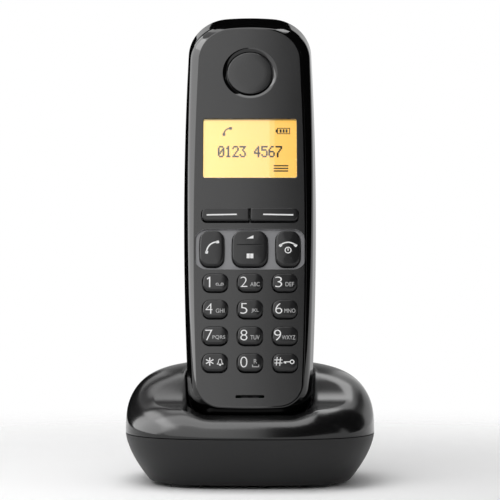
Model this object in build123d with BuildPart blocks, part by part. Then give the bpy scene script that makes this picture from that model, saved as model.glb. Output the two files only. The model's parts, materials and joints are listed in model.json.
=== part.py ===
from build123d import *
import os
from math import acos, copysign, cos, pi, radians, sin, tan

os.makedirs("parts", exist_ok=True)

# Driving dimensions in millimetres and degrees.
# The base stands on z = 0, centred on the origin, with its front towards -Y.

# Handset, places along its length, each measured from the one before, from the bottom up
chin = 3.2
mic_rise = 4.1
first_row_rise = 11.8
key_pitch_high = 9.6
call_row_rise = 12.5
soft_row_rise = 12.4
display_rise = 25.4
earpiece_rise = 28.9
brow = 17.6
crest = 7.5

# Keys
key_columns = 3
key_row_count = 4
key_width = 8.5
key_height = 6.4
key_corner = 2.3
key_pitch_wide = 12.0
side_key_width = 8.5
side_key_height = 13.0
side_key_corner = 2.6
side_key_offset = 13.2
rocker_width = 12.3
rocker_corner = 2.6
rocker_groove = 0.7
soft_key_width = 16.5
soft_key_height = 4.7
soft_key_corner = 0.9
soft_key_split = 0.4
soft_key_crown = 0.35
key_proud = 0.9
key_crown = 0.7
key_flange = 0.4
key_flange_thick = 0.7
key_clearance = 0.3
key_travel = 0.5
key_boss = 3.2
soft_key_boss = 2.4
key_play = 0.1
rocker_swing = 2.5

# Handset shells
lean_angle = 20.0
handset_depth = 25.0
back_foot = 21.0
back_top = 17.0
back_peak = 58.5
back_rounding = 8.0
back_overrun = 3.0
face_wall = 1.8
shell_wall = 1.8
shoulder_depth = 2.2
parting_depth = 8.0
parting_gap = 0.2
bevel_run = 2.4
bevel_rise = 2.2
bevel_drop = 2.1
side_flare = 1.25
face_taper = 1.7
shoulder_taper_top = 0.8
shoulder_taper_chin = 2.6
girth_taper_top = 1.65
girth_taper_chin = 2.6
crown_top = 2.4
crown_chin = 0.9
corner_top = 15.0
corner_chin = 11.0
corner_step = 1.2
recess_depth = 0.6
recess_margin = 0.8
recess_side_margin = 1.7
recess_edge = 0.45
recess_corner = 4.2
mic_slot_width = 9.8
mic_slot_height = 1.0
mic_slot_corner = 0.47

# Display, sound and boards of the handset
window_width = 33.0
window_height = 22.4
window_sunk = 0.1
window_corner = 0.8
lcd_margin = 1.4
lcd_thick = 1.6
guide_corner = 1.4
earpiece_mouth = 19.4
earpiece_throat = 16.9
earpiece_disc = 16.1
earpiece_slope = 1.0
earpiece_flange = 2.2
earpiece_flange_thick = 0.8
earpiece_sunk = 0.15
earpiece_edge = 0.15
sound_hole = 1.1
sound_holes = 16
mat_thick = 0.8
mat_margin = 1.5
board_thick = 1.2
board_gap = 0.4
stack_depth = 5.2
mic_diameter = 6.0
mic_port = 2.0
mic_port_depth = 0.8
ringer_diameter = 16.0
ringer_thick = 4.0
ringer_room = 2.6
ringer_clearance = 0.3
ringer_gap = 0.55
ringer_wall = 1.2
ringer_hole = 1.4
ringer_holes = 8
ringer_hole_ring = 8.0
can_thick = 2.2
can_width = 20.0
can_height = 16.0
can_corner = 1.4
handset_can_rise = 124.5

# Battery bay
cell_diameter = 10.2
cell_length = 44.2
cell_nub = 1.2
cell_nub_diameter = 4.0
cell_clearance = 0.3
contact_thick = 0.4
contact_room = 1.8
leaf_width = 2.6
leaf_height = 5.0
bay_low = 48.5
bay_wall = 1.2
bay_cover_room = 0.9
cover_ledge = 2.4
cover_thick = 1.8
cover_gap = 0.3
cover_corner = 4.0
notch_width = 10.0
notch_depth = 0.7

# Handset fasteners and charge pads
handset_screw_offset = 12.0
handset_screw_rise = 12.1
handset_boss = 4.4
screw_shank = 1.8
screw_head = 3.4
screw_head_thick = 1.5
screw_wall = 1.6
pad_width = 5.0
pad_depth = 4.0
pad_offset = 8.0
pad_inner = 1.0
pad_sunk = 0.3

# Base, outside
base_depth = 74.0
shoulder_width = 18.2
seam_height = 17.5
seam_gap = 0.3
dome_rise = 25.2
outline_power = 2.9
outline_points = 24
loft_levels = 6
taper = 8.2
taper_power = 1.6
base_wall = 2.0
floor_height = 1.2
floor_thick = 2.2
floor_edge = 1.0
lip_height = 24.6
crease_radius = 14.0
backrest_angle = 33.5
rim_rounding = 3.2
cap_share = 0.9

# Cradle
seat_height = 23.8
front_ledge = 13.7
crease_behind = 5.8
seat_gap = 0.3
cradle_clearance = 0.5
cradle_front_corner = 6.0
cradle_back_corner = 7.0
cradle_wall = 1.6
cradle_rim = 0.6
touching = 0.003

# Base, inside
post_radius = 3.2
post_clearance = 0.5
base_screw_place = 10.0
base_screw_shank = 2.4
base_screw_head = 4.6
base_screw_head_thick = 2.0
base_screw_seat = 4.0
base_screw_bite = 6.0
base_screw_tip = 1.0
tongue_play = 0.2
tongue_thick = 1.0
tongue_root = 2.0
tongue_rise = 1.5
base_board_thick = 1.6
base_board_rise = 1.2
base_board_side_room = 3.2
base_board_front_room = 17.0
base_board_rear_room = 9.5
base_board_corner = 4.0
base_can_place = -1.0
standoff_radius = 2.4
standoff_inset = 4.0
jack_width = 12.0
jack_height = 9.6
jack_length = 13.0
jack_mouth_width = 9.7
jack_mouth_height = 6.7
jack_mouth_depth = 10.5
power_mouth_width = 7.7
jack_latch_width = 3.4
jack_latch_height = 1.2
jack_spacing = 1.8
jack_clearance = 0.3
jack_recess = 0.4
paging_width = 6.0
paging_height = 4.0
paging_proud = 0.4
paging_flange = 0.9
paging_flange_thick = 1.0
paging_play = 0.2
paging_travel = 0.8
switch_width = 5.0
switch_length = 4.0
plunger_diameter = 2.4
plunger_length = 1.2
foot_diameter = 10.0
foot_thick = 2.0
foot_sunk = 0.8
foot_inset_x = 21.0
foot_inset_y = 18.5
strip_thick = 0.5
strip_width = 2.6
strip_clearance = 0.4
strip_foot = 4.0
strip_gap = 0.25

# Places worked out from the sizes above
mic_place = chin + mic_rise
first_row = mic_place + first_row_rise
key_rows = [first_row + row * key_pitch_high for row in range(key_row_count)]
keypad_middle = (key_rows[0] + key_rows[-1]) / 2
call_row = key_rows[-1] + call_row_rise
soft_row = call_row + soft_row_rise
display_place = soft_row + display_rise
earpiece_place = display_place + earpiece_rise
face_top = earpiece_place + brow
handset_length = face_top + crest

recess_width = 2 * (side_key_offset + side_key_width / 2 + recess_side_margin)
recess_height = side_key_height + 2 * recess_margin
face_half = recess_width / 2 + recess_edge
shoulder_half = face_half + bevel_run
girth_half = shoulder_half + side_flare
soft_strip_width = 2 * soft_key_width + soft_key_split + 2 * key_clearance
rear_start = parting_depth + parting_gap
board_top = stack_depth
board_back = board_top + board_thick
flange_top = face_wall + key_play
flange_back = flange_top + key_flange_thick
boss_top = flange_back + key_travel + key_play

base_half_width = girth_half + cradle_wall + shoulder_width
base_half_depth = base_depth / 2
seat_place = front_ledge - base_half_depth
crease_place = seat_place + crease_behind
dome_low = seam_height + seam_gap / 2
tub_top = seam_height - seam_gap / 2
# The dome is lofted up to a small flat cap, which lies where the saddle cuts it away.
saddle_run = (dome_low + dome_rise - lip_height) / tan(radians(backrest_angle))
cap_half_depth = cap_share * (crease_place + saddle_run)
dome_end = acos((cap_half_depth / base_half_depth) ** (outline_power / 2))
floor_top = floor_height + floor_thick
base_board_low = floor_top + base_board_rise
base_board_top = base_board_low + base_board_thick

lean = radians(lean_angle)
up_axis = (0, sin(lean), cos(lean))
out_axis = (0, -cos(lean), sin(lean))
seat = (0, seat_place, seat_height)
# Sketches on the face plane read across and up the handset, with +Z out of its face.
face_plane = Plane(origin=seat, x_dir=(1, 0, 0), z_dir=out_axis)
# Sketches on the side plane read up the handset and out of its face.
side_plane = Plane(origin=seat, x_dir=up_axis, z_dir=(1, 0, 0))
# Sketches on the end plane read across the handset and, upwards, towards its back.
end_plane = Plane(origin=seat, x_dir=(1, 0, 0), z_dir=up_axis)


def long_outline(half_middle, half_top, half_low, low, high, radius_top, radius_low, inset=0):
    """An outline with bulged sides, crowned ends and round corners, drawn in by an inset."""
    middle = (low + high) / 2
    top_corner = (half_top - inset, high - crown_top - inset)
    low_corner = (half_low - inset, low + crown_chin + inset)
    with BuildSketch() as outline:
        with BuildLine():
            ThreePointArc(low_corner, (half_middle - inset, middle), top_corner)
            ThreePointArc(top_corner, (0, high - inset), (-top_corner[0], top_corner[1]))
            ThreePointArc(
                (-top_corner[0], top_corner[1]),
                (inset - half_middle, middle),
                (-low_corner[0], low_corner[1]),
            )
            ThreePointArc((-low_corner[0], low_corner[1]), (0, low + inset), low_corner)
        make_face()
        fillet(outline.vertices().group_by(Axis.Y)[-1], radius_top - inset)
        fillet(outline.vertices().group_by(Axis.Y)[0], radius_low - inset)
    return outline.sketch


def shoulder_line(inset):
    """The outline where the bevel meets the side band."""
    return long_outline(
        shoulder_half,
        shoulder_half - shoulder_taper_top,
        shoulder_half - shoulder_taper_chin,
        chin - bevel_drop,
        face_top + bevel_rise,
        corner_top - corner_step,
        corner_chin - corner_step,
        inset,
    )


def girth_line(inset):
    """The widest outline, at the parting line."""
    return long_outline(
        girth_half,
        girth_half - girth_taper_top,
        girth_half - girth_taper_chin,
        0,
        handset_length,
        corner_top,
        corner_chin,
        inset,
    )


face_outline = long_outline(
    face_half,
    face_half - face_taper,
    face_half - face_taper,
    chin,
    face_top,
    corner_top - 2 * corner_step,
    corner_chin - 2 * corner_step,
)


def back_depth(rise):
    """How far the arched back lies behind the face at a place along the handset."""
    foot = -back_overrun
    top = handset_length + back_overrun
    first = (handset_depth - back_foot) / (back_peak - foot)
    second = (back_top - handset_depth) / (top - back_peak)
    bend = (second - first) / (top - foot)
    return back_foot + (rise - foot) * (first + bend * (rise - back_peak))


def back_region(drop):
    """Everything behind the arched back of the handset, the arch moved forward by a drop."""
    beyond = 2 * handset_depth
    with BuildPart() as region:
        with BuildSketch(side_plane):
            with BuildLine():
                ThreePointArc(
                    (-back_overrun, drop - back_foot),
                    (back_peak, drop - handset_depth),
                    (handset_length + back_overrun, drop - back_top),
                )
                Polyline(
                    (handset_length + back_overrun, drop - back_top),
                    (handset_length + back_overrun, -beyond),
                    (-back_overrun, -beyond),
                    (-back_overrun, drop - back_foot),
                )
            make_face()
        extrude(amount=2 * girth_half, both=True)
    return region.part


def rear_body(outline, drop):
    """The rounded back half of the handset, or its cavity, from the parting line backwards."""
    with BuildPart() as body:
        with BuildSketch(face_plane.offset(-rear_start)):
            add(outline)
        extrude(amount=rear_start - handset_depth)
        add(back_region(drop), mode=Mode.SUBTRACT)
        back_face = body.faces().sort_by(Axis((0, 0, 0), out_axis))[0]
        fillet(back_face.edges(), back_rounding - drop)
    return body.part


def face_column(low, high, width, height, corner, near, far):
    """A rounded block on the handset between two depths below its face."""
    with BuildPart() as block:
        with BuildSketch(face_plane.offset(-near)):
            with Locations((0, (low + high) / 2)):
                RectangleRounded(width, height, corner)
        extrude(amount=near - far)
    return block.part


# Battery bay, worked out from the cells
bay_width = 2 * cell_diameter + 3 * cell_clearance
bay_length = cell_length + cell_nub + 2 * (contact_thick + contact_room)
bay_high = bay_low + bay_length
bay_middle = (bay_low + bay_high) / 2
bay_back = handset_depth - cover_thick - cover_gap - bay_cover_room
bay_floor = bay_back - cell_diameter - 2 * cell_clearance
cover_width = bay_width + 2 * cover_ledge
cover_height = bay_length + 2 * cover_ledge
bay_block = face_column(
    bay_low,
    bay_high,
    cover_width + 2 * bay_wall,
    cover_height + 2 * bay_wall,
    cover_corner + bay_wall,
    bay_floor - bay_wall,
    handset_depth,
)
bay_hollow = face_column(bay_low, bay_high, bay_width, bay_length, bay_wall, bay_floor, handset_depth)

rear_outer = rear_body(girth_line(0), 0)
rear_cavity = rear_body(girth_line(shell_wall), shell_wall)
screw_places = [(-handset_screw_offset, handset_screw_rise), (handset_screw_offset, handset_screw_rise)]
pad_middle = rear_start + pad_depth / 2 + key_clearance
pad_places = [(-pad_offset, pad_middle), (pad_offset, pad_middle)]

# Front shell: bevelled face over a side band that widens to the parting line
with BuildPart() as front_shell:
    with BuildSketch(face_plane):
        add(face_outline)
    with BuildSketch(face_plane.offset(-shoulder_depth)):
        add(shoulder_line(0))
    with BuildSketch(face_plane.offset(-parting_depth)):
        add(girth_line(0))
    loft(ruled=True)
    with BuildSketch(face_plane.offset(-face_wall)):
        add(shoulder_line(shell_wall))
    extrude(amount=face_wall - parting_depth, mode=Mode.SUBTRACT)
    with BuildSketch(face_plane):
        with Locations((0, call_row)):
            RectangleRounded(recess_width, recess_height, recess_corner)
    extrude(amount=-recess_depth, mode=Mode.SUBTRACT)
    with BuildSketch(face_plane):
        with Locations((0, keypad_middle)):
            with GridLocations(key_pitch_wide, key_pitch_high, key_columns, key_row_count):
                RectangleRounded(
                    key_width + 2 * key_clearance,
                    key_height + 2 * key_clearance,
                    key_corner + key_clearance,
                )
        with Locations((-side_key_offset, call_row), (side_key_offset, call_row)):
            RectangleRounded(
                side_key_width + 2 * key_clearance,
                side_key_height + 2 * key_clearance,
                side_key_corner + key_clearance,
            )
        with Locations((0, call_row)):
            RectangleRounded(
                rocker_width + 2 * key_clearance,
                side_key_height + 2 * key_clearance,
                rocker_corner + key_clearance,
            )
        with Locations((0, soft_row)):
            RectangleRounded(
                soft_strip_width,
                soft_key_height + 2 * key_clearance,
                soft_key_corner + key_clearance,
            )
        with Locations((0, display_place)):
            RectangleRounded(window_width, window_height, window_corner)
        with Locations((0, mic_place)):
            RectangleRounded(mic_slot_width, mic_slot_height, mic_slot_corner)
        with Locations((0, earpiece_place)):
            Circle(earpiece_throat / 2)
    extrude(amount=-face_wall, mode=Mode.SUBTRACT)
    with BuildSketch(face_plane):
        with Locations((0, earpiece_place)):
            Circle(earpiece_mouth / 2)
    with BuildSketch(face_plane.offset(-earpiece_slope)):
        with Locations((0, earpiece_place)):
            Circle(earpiece_throat / 2)
    loft(mode=Mode.SUBTRACT)
    with BuildSketch(face_plane.offset(-face_wall)):
        with Locations(*screw_places):
            Circle(handset_boss / 2)
    extrude(amount=face_wall - parting_depth)
    with BuildSketch(face_plane.offset(-face_wall - screw_wall)):
        with Locations(*screw_places):
            Circle(screw_shank / 2)
    extrude(amount=face_wall + screw_wall - parting_depth, mode=Mode.SUBTRACT)
front_shell.part.label = "front_shell"
export_step(front_shell.part, "parts/front_shell.step")

# Rear shell: arched back with the battery bay, screw tubes, ringer ring and pad slots
bay_block_top = bay_high + cover_ledge + bay_wall
ringer_rise = bay_block_top + ringer_room + ringer_wall + ringer_clearance + ringer_diameter / 2
ringer_back = back_depth(ringer_rise + ringer_diameter / 2) - shell_wall - ringer_gap
with BuildPart() as rear_fill:
    add(bay_block)
    with BuildSketch(face_plane.offset(-rear_start)):
        with Locations(*screw_places):
            Circle(screw_head / 2 + screw_wall)
    extrude(amount=rear_start - handset_depth)
    with BuildSketch(face_plane.offset(-ringer_back + ringer_thick)):
        with Locations((0, ringer_rise)):
            Circle(ringer_diameter / 2 + ringer_clearance + ringer_wall)
            Circle(ringer_diameter / 2 + ringer_clearance, mode=Mode.SUBTRACT)
    extrude(amount=ringer_back - ringer_thick - handset_depth)
    add(rear_outer, mode=Mode.INTERSECT)
with BuildPart() as rear_shell:
    add(rear_outer)
    add(rear_cavity, mode=Mode.SUBTRACT)
    add(rear_fill.part)
    add(bay_hollow, mode=Mode.SUBTRACT)
    with BuildSketch(face_plane.offset(-handset_depth + cover_thick + cover_gap)):
        with Locations((0, bay_middle)):
            RectangleRounded(cover_width, cover_height, cover_corner)
    extrude(amount=-handset_depth, mode=Mode.SUBTRACT)
    with BuildSketch(face_plane.offset(-rear_start)):
        with Locations(*screw_places):
            Circle(screw_shank / 2 + key_play)
    extrude(amount=rear_start - handset_depth, mode=Mode.SUBTRACT)
    with BuildSketch(face_plane.offset(-rear_start - screw_wall)):
        with Locations(*screw_places):
            Circle(screw_head / 2 + key_play)
    extrude(amount=-handset_depth, mode=Mode.SUBTRACT)
    with BuildSketch(face_plane.offset(-rear_start - screw_wall)):
        with Locations((0, ringer_rise)):
            with PolarLocations(ringer_hole_ring / 2, ringer_holes):
                Circle(ringer_hole / 2)
            Circle(ringer_hole / 2)
    extrude(amount=-handset_depth, mode=Mode.SUBTRACT)
    with BuildSketch(end_plane.offset(-back_overrun)):
        with Locations(*pad_places):
            Rectangle(pad_width, pad_depth)
    extrude(amount=back_overrun + shell_wall + crown_chin, mode=Mode.SUBTRACT)
rear_shell.part.label = "rear_shell"
export_step(rear_shell.part, "parts/rear_shell.step")

# Battery cover: the same arched back, cut out with a gap and thinned from inside
with BuildPart() as battery_cover:
    with BuildSketch(face_plane.offset(-handset_depth + cover_thick)):
        with Locations((0, bay_middle)):
            RectangleRounded(
                cover_width - 2 * cover_gap,
                cover_height - 2 * cover_gap,
                cover_corner - cover_gap,
            )
    extrude(amount=-handset_depth)
    add(rear_outer, mode=Mode.INTERSECT)
    with BuildSketch(face_plane.offset(-handset_depth + notch_depth)):
        with Locations((0, bay_middle - cover_height / 2 + cover_ledge + cover_gap)):
            SlotOverall(notch_width, cover_ledge)
    extrude(amount=-handset_depth, mode=Mode.SUBTRACT)
battery_cover.part.label = "battery_cover"
export_step(battery_cover.part, "parts/battery_cover.step")


def key_block(place, width, height, corner, flange_near, groove):
    """A key cap on its flange, with a rounded top edge and, on the rocker, a groove across."""
    with BuildPart() as block:
        with BuildSketch(face_plane.offset(-flange_near)):
            with Locations(place):
                RectangleRounded(width + 2 * key_flange, height + 2 * key_flange, corner + key_flange)
        extrude(amount=-key_flange_thick)
        with BuildSketch(face_plane.offset(-flange_near)):
            with Locations(place):
                RectangleRounded(width, height, corner)
        extrude(amount=flange_near + key_proud)
        top_face = block.faces().sort_by(Axis((0, 0, 0), out_axis))[-1]
        fillet(top_face.edges(), key_crown)
        if groove:
            with BuildSketch(face_plane.offset(key_proud)):
                with Locations(place):
                    Rectangle(width - 2 * corner, groove)
            extrude(amount=-groove, mode=Mode.SUBTRACT)
    return block.part


# Number keys, from the bottom row up
key_names = [
    ["key_star", "key_0", "key_hash"],
    ["key_7", "key_8", "key_9"],
    ["key_4", "key_5", "key_6"],
    ["key_1", "key_2", "key_3"],
]
for row, names in enumerate(key_names):
    for column, name in enumerate(names):
        place = ((column - 1) * key_pitch_wide, key_rows[row])
        with BuildPart() as number_key:
            add(key_block(place, key_width, key_height, key_corner, flange_top, 0))
        number_key.part.label = name
        export_step(number_key.part, f"parts/{name}.step")

for name, side in (("call_key", -1), ("end_key", 1)):
    place = (side * side_key_offset, call_row)
    with BuildPart() as side_key:
        add(key_block(place, side_key_width, side_key_height, side_key_corner, flange_top, 0))
    side_key.part.label = name
    export_step(side_key.part, f"parts/{name}.step")

for name, side in (("left_soft_key", -1), ("right_soft_key", 1)):
    place = (side * (soft_key_width + soft_key_split) / 2, soft_row)
    with BuildPart() as soft_key:
        with BuildSketch(face_plane.offset(-flange_top)):
            with Locations(place):
                Rectangle(soft_key_width, soft_key_height + 2 * key_flange)
        extrude(amount=-key_flange_thick)
        with BuildSketch(face_plane.offset(-flange_top)):
            with Locations(place):
                RectangleRounded(soft_key_width, soft_key_height, soft_key_corner)
        extrude(amount=flange_top + key_proud)
        soft_top = soft_key.faces().sort_by(Axis((0, 0, 0), out_axis))[-1]
        fillet(soft_top.edges(), soft_key_crown)
    soft_key.part.label = name
    export_step(soft_key.part, f"parts/{name}.step")

# The rocker hangs lower under the face, so that its flange can tilt
rocker_flange = face_wall + (side_key_height / 2 + key_flange) * tan(radians(rocker_swing)) + key_play
with BuildPart() as navigation_key:
    add(key_block((0, call_row), rocker_width, side_key_height, rocker_corner, rocker_flange, rocker_groove))
navigation_key.part.label = "navigation_key"
export_step(navigation_key.part, "parts/navigation_key.step")

# Keypad mat: a rubber sheet on the board with a boss under each key
mat_low = key_rows[0] - key_height / 2 - mat_margin
mat_high = soft_row + soft_key_height / 2 + mat_margin
mat_half = side_key_offset + side_key_width / 2
with BuildPart() as keypad_mat:
    with BuildSketch(face_plane.offset(-board_top)):
        with Locations((0, (mat_low + mat_high) / 2)):
            RectangleRounded(2 * mat_half, mat_high - mat_low, key_corner)
    extrude(amount=mat_thick)
    with BuildSketch(face_plane.offset(-board_top)):
        with Locations((0, keypad_middle)):
            with GridLocations(key_pitch_wide, key_pitch_high, key_columns, key_row_count):
                Circle(key_boss / 2)
        with Locations((-side_key_offset, call_row), (side_key_offset, call_row)):
            Circle(key_boss / 2)
        with Locations((-soft_key_width / 2, soft_row), (soft_key_width / 2, soft_row)):
            Circle(soft_key_boss / 2)
    extrude(amount=board_top - boss_top)
keypad_mat.part.label = "keypad_mat"
export_step(keypad_mat.part, "parts/keypad_mat.step")

with BuildPart() as display_window:
    with BuildSketch(face_plane.offset(-window_sunk)):
        with Locations((0, display_place)):
            RectangleRounded(window_width - key_play, window_height - key_play, window_corner)
    extrude(amount=window_sunk - face_wall)
display_window.part.label = "display_window"
export_step(display_window.part, "parts/display_window.step")

lcd_back = face_wall + lcd_thick
with BuildPart() as lcd_panel:
    with BuildSketch(face_plane.offset(-face_wall)):
        with Locations((0, display_place)):
            Rectangle(window_width + 2 * lcd_margin, window_height + 2 * lcd_margin)
    extrude(amount=-lcd_thick)
lcd_panel.part.label = "lcd_panel"
export_step(lcd_panel.part, "parts/lcd_panel.step")

with BuildPart() as backlight_guide:
    with BuildSketch(face_plane.offset(-lcd_back)):
        with Locations((0, display_place)):
            RectangleRounded(
                window_width + 2 * lcd_margin,
                window_height + 2 * lcd_margin,
                guide_corner,
            )
    extrude(amount=lcd_back - board_top)
backlight_guide.part.label = "backlight_guide"
export_step(backlight_guide.part, "parts/backlight_guide.step")

# Earpiece cap: a disc in the throat of the sound ring, on a flange with a ring of holes
cap_back = face_wall + earpiece_flange_thick
with BuildPart() as earpiece_cap:
    with BuildSketch(face_plane.offset(-face_wall)):
        with Locations((0, earpiece_place)):
            Circle(earpiece_throat / 2 + earpiece_flange)
    extrude(amount=-earpiece_flange_thick)
    with BuildSketch(face_plane.offset(-face_wall)):
        with Locations((0, earpiece_place)):
            Circle(earpiece_disc / 2)
    extrude(amount=face_wall - earpiece_sunk)
    cap_top = earpiece_cap.faces().sort_by(Axis((0, 0, 0), out_axis))[-1]
    fillet(cap_top.edges(), earpiece_edge)
    with BuildSketch(face_plane.offset(-face_wall)):
        with Locations((0, earpiece_place)):
            with PolarLocations(earpiece_disc / 2 + sound_hole / 2, sound_holes):
                Circle(sound_hole / 2)
    extrude(amount=-earpiece_flange_thick, mode=Mode.SUBTRACT)
earpiece_cap.part.label = "earpiece_cap"
export_step(earpiece_cap.part, "parts/earpiece_cap.step")

with BuildPart() as earpiece_speaker:
    with BuildSketch(face_plane.offset(-cap_back)):
        with Locations((0, earpiece_place)):
            Circle(earpiece_throat / 2 + earpiece_flange)
    extrude(amount=(cap_back - board_top) / 2)
    with BuildSketch(face_plane.offset((-cap_back - board_top) / 2)):
        with Locations((0, earpiece_place)):
            Circle(earpiece_disc / 2)
    extrude(amount=(cap_back - board_top) / 2)
earpiece_speaker.part.label = "earpiece_speaker"
export_step(earpiece_speaker.part, "parts/earpiece_speaker.step")

with BuildPart() as microphone:
    with BuildSketch(face_plane.offset(-face_wall)):
        with Locations((0, mic_place)):
            Circle(mic_diameter / 2)
    extrude(amount=face_wall - board_top)
    with BuildSketch(face_plane.offset(-face_wall)):
        with Locations((0, mic_place)):
            Circle(mic_port / 2)
    extrude(amount=-mic_port_depth, mode=Mode.SUBTRACT)
microphone.part.label = "microphone"
export_step(microphone.part, "parts/microphone.step")

with BuildPart() as handset_pcb:
    with BuildSketch(face_plane.offset(-board_top)):
        add(shoulder_line(shell_wall + board_gap))
        with Locations(*screw_places):
            Circle(handset_boss / 2 + board_gap, mode=Mode.SUBTRACT)
    extrude(amount=-board_thick)
handset_pcb.part.label = "handset_pcb"
export_step(handset_pcb.part, "parts/handset_pcb.step")

with BuildPart() as handset_shield_can:
    with BuildSketch(face_plane.offset(-board_back)):
        with Locations((0, handset_can_rise)):
            RectangleRounded(can_width, can_height, can_corner)
    extrude(amount=-can_thick)
handset_shield_can.part.label = "handset_shield_can"
export_step(handset_shield_can.part, "parts/handset_shield_can.step")

with BuildPart() as ringer_speaker:
    with BuildSketch(face_plane.offset(-ringer_back)):
        with Locations((0, ringer_rise)):
            Circle(ringer_diameter / 2)
    extrude(amount=ringer_thick)
ringer_speaker.part.label = "ringer_speaker"
export_step(ringer_speaker.part, "parts/ringer_speaker.step")

# Two cells lie head to tail on the floor of their bay, between leaf contacts
cell_depth = bay_floor + cell_clearance + cell_diameter / 2
cell_offset = (cell_diameter + cell_clearance) / 2
cell_low = bay_low + contact_thick + contact_room
with BuildPart() as battery_cells:
    for side in (-1, 1):
        nub_first = side > 0
        can_low = cell_low + (cell_nub if nub_first else 0)
        with BuildSketch(end_plane.offset(can_low)):
            with Locations((side * cell_offset, cell_depth)):
                Circle(cell_diameter / 2)
        extrude(amount=cell_length)
        with BuildSketch(end_plane.offset(cell_low if nub_first else can_low + cell_length)):
            with Locations((side * cell_offset, cell_depth)):
                Circle(cell_nub_diameter / 2)
        extrude(amount=cell_nub)
battery_cells.part.label = "battery_cells"
export_step(battery_cells.part, "parts/battery_cells.step")

with BuildPart() as battery_contacts:
    for end_place, reach in ((bay_low, contact_room), (bay_high, -contact_room)):
        for side in (-1, 1):
            with BuildSketch(end_plane.offset(end_place)):
                with Locations((side * cell_offset, cell_depth)):
                    Rectangle(cell_diameter - 2 * bay_wall, cell_diameter - 2 * bay_wall)
            extrude(amount=copysign(contact_thick, reach))
            with BuildSketch(end_plane.offset(end_place)):
                with Locations((side * cell_offset, cell_depth)):
                    Rectangle(leaf_width, leaf_height)
            extrude(amount=reach)
battery_contacts.part.label = "battery_contacts"
export_step(battery_contacts.part, "parts/battery_contacts.step")

with BuildPart() as charge_pads:
    with BuildSketch(end_plane.offset(pad_sunk)):
        with Locations(*pad_places):
            Rectangle(pad_width, pad_depth)
    extrude(amount=shell_wall + pad_inner)
charge_pads.part.label = "charge_pads"
export_step(charge_pads.part, "parts/charge_pads.step")

with BuildPart() as handset_screws:
    with BuildSketch(face_plane.offset(-rear_start - screw_wall)):
        with Locations(*screw_places):
            Circle(screw_head / 2)
    extrude(amount=-screw_head_thick)
    with BuildSketch(face_plane.offset(-rear_start - screw_wall)):
        with Locations(*screw_places):
            Circle(screw_shank / 2 - key_play)
    extrude(amount=rear_start - face_wall)
handset_screws.part.label = "handset_screws"
export_step(handset_screws.part, "parts/handset_screws.step")


def base_outline(half_width, half_depth, start_angle):
    """A squared oval seen from above, whose closing point lies at the start angle."""
    points = []
    for step in range(outline_points):
        angle = start_angle + 2 * pi * step / outline_points
        across = copysign(abs(cos(angle)) ** (2 / outline_power), cos(angle))
        along = copysign(abs(sin(angle)) ** (2 / outline_power), sin(angle))
        points.append((half_width * across, half_depth * along))
    with BuildSketch() as outline:
        with BuildLine():
            Spline(*points, periodic=True)
        make_face()
    return outline.sketch


def dome_body(inset):
    """The domed upper half of the base, drawn in by an inset."""
    with BuildPart() as body:
        for level in range(loft_levels + 1):
            angle = dome_end * level / loft_levels
            rise = (dome_rise - inset) * sin(angle) ** (2 / outline_power)
            shrink = cos(angle) ** (2 / outline_power)
            half_width = (base_half_width - inset) * shrink
            half_depth = (base_half_depth - inset) * shrink
            with BuildSketch(Plane.XY.offset(dome_low + rise)):
                add(base_outline(half_width, half_depth, pi / 2))
        loft()
    return body.part


def tub_inset(height):
    """How far the lower half of the base is drawn in at a height."""
    return taper * ((seam_height - height) / (seam_height - floor_height)) ** taper_power


def tub_body(inset, low):
    """The tapered lower half of the base, drawn in by an inset, from a height up to the seam."""
    with BuildPart() as body:
        for level in range(loft_levels + 1):
            height = low + (tub_top - low) * level / loft_levels
            drawn = inset + tub_inset(height)
            with BuildSketch(Plane.XY.offset(height)):
                add(base_outline(base_half_width - drawn, base_half_depth - drawn, -pi / 2))
        loft()
    return body.part


def rear_wall(across, height, inset):
    """The distance of the lower half's rear wall from the middle, at a place across and up."""
    drawn = inset + tub_inset(height)
    share = across / (base_half_width - drawn)
    return (base_half_depth - drawn) * (1 - share**outline_power) ** (1 / outline_power)


def saddle_cut(drop):
    """Everything above the front lip and the backrest slope, moved down by a drop."""
    slope = radians(backrest_angle)
    crease = (crease_place + drop * tan(slope / 2), lip_height - drop)
    reach = 2 * base_half_depth
    with BuildPart() as cut:
        with BuildSketch(Plane.YZ) as profile:
            with BuildLine():
                Polyline(
                    (-reach, crease[1]),
                    crease,
                    (crease[0] + reach, crease[1] + reach * tan(slope)),
                    (-reach, crease[1] + reach * tan(slope)),
                    close=True,
                )
            make_face()
            fillet(profile.vertices().sort_by_distance(crease)[0], crease_radius + drop)
        extrude(amount=2 * base_half_width, both=True)
    return cut.part


def cradle_block(grow, low, high):
    """A block along the handset, with its round corners, grown by a clearance or a wall."""
    with BuildPart() as block:
        with BuildSketch(end_plane.offset(low)) as section:
            with Locations((0, handset_depth / 2)):
                Rectangle(2 * (girth_half + grow), handset_depth + 2 * grow)
            fillet(section.vertices().group_by(Axis.Y)[0], cradle_front_corner + grow)
            fillet(section.vertices().group_by(Axis.Y)[-1], cradle_back_corner + grow)
        extrude(amount=high - low)
    return block.part


cradle = cradle_block(cradle_clearance, -seat_gap, handset_length)
cradle_outside = cradle_block(cradle_clearance + cradle_wall, -seat_gap - cradle_wall, handset_length)
dome = dome_body(0)
saddle = saddle_cut(0)
dome_cavity = dome_body(base_wall)
saddle_cavity = saddle_cut(base_wall)
base_screw_side = girth_half + cradle_clearance + cradle_wall + post_radius + post_clearance
base_screw_places = [
    (side * base_screw_side, end * base_screw_place) for side in (-1, 1) for end in (-1, 1)
]

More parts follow.
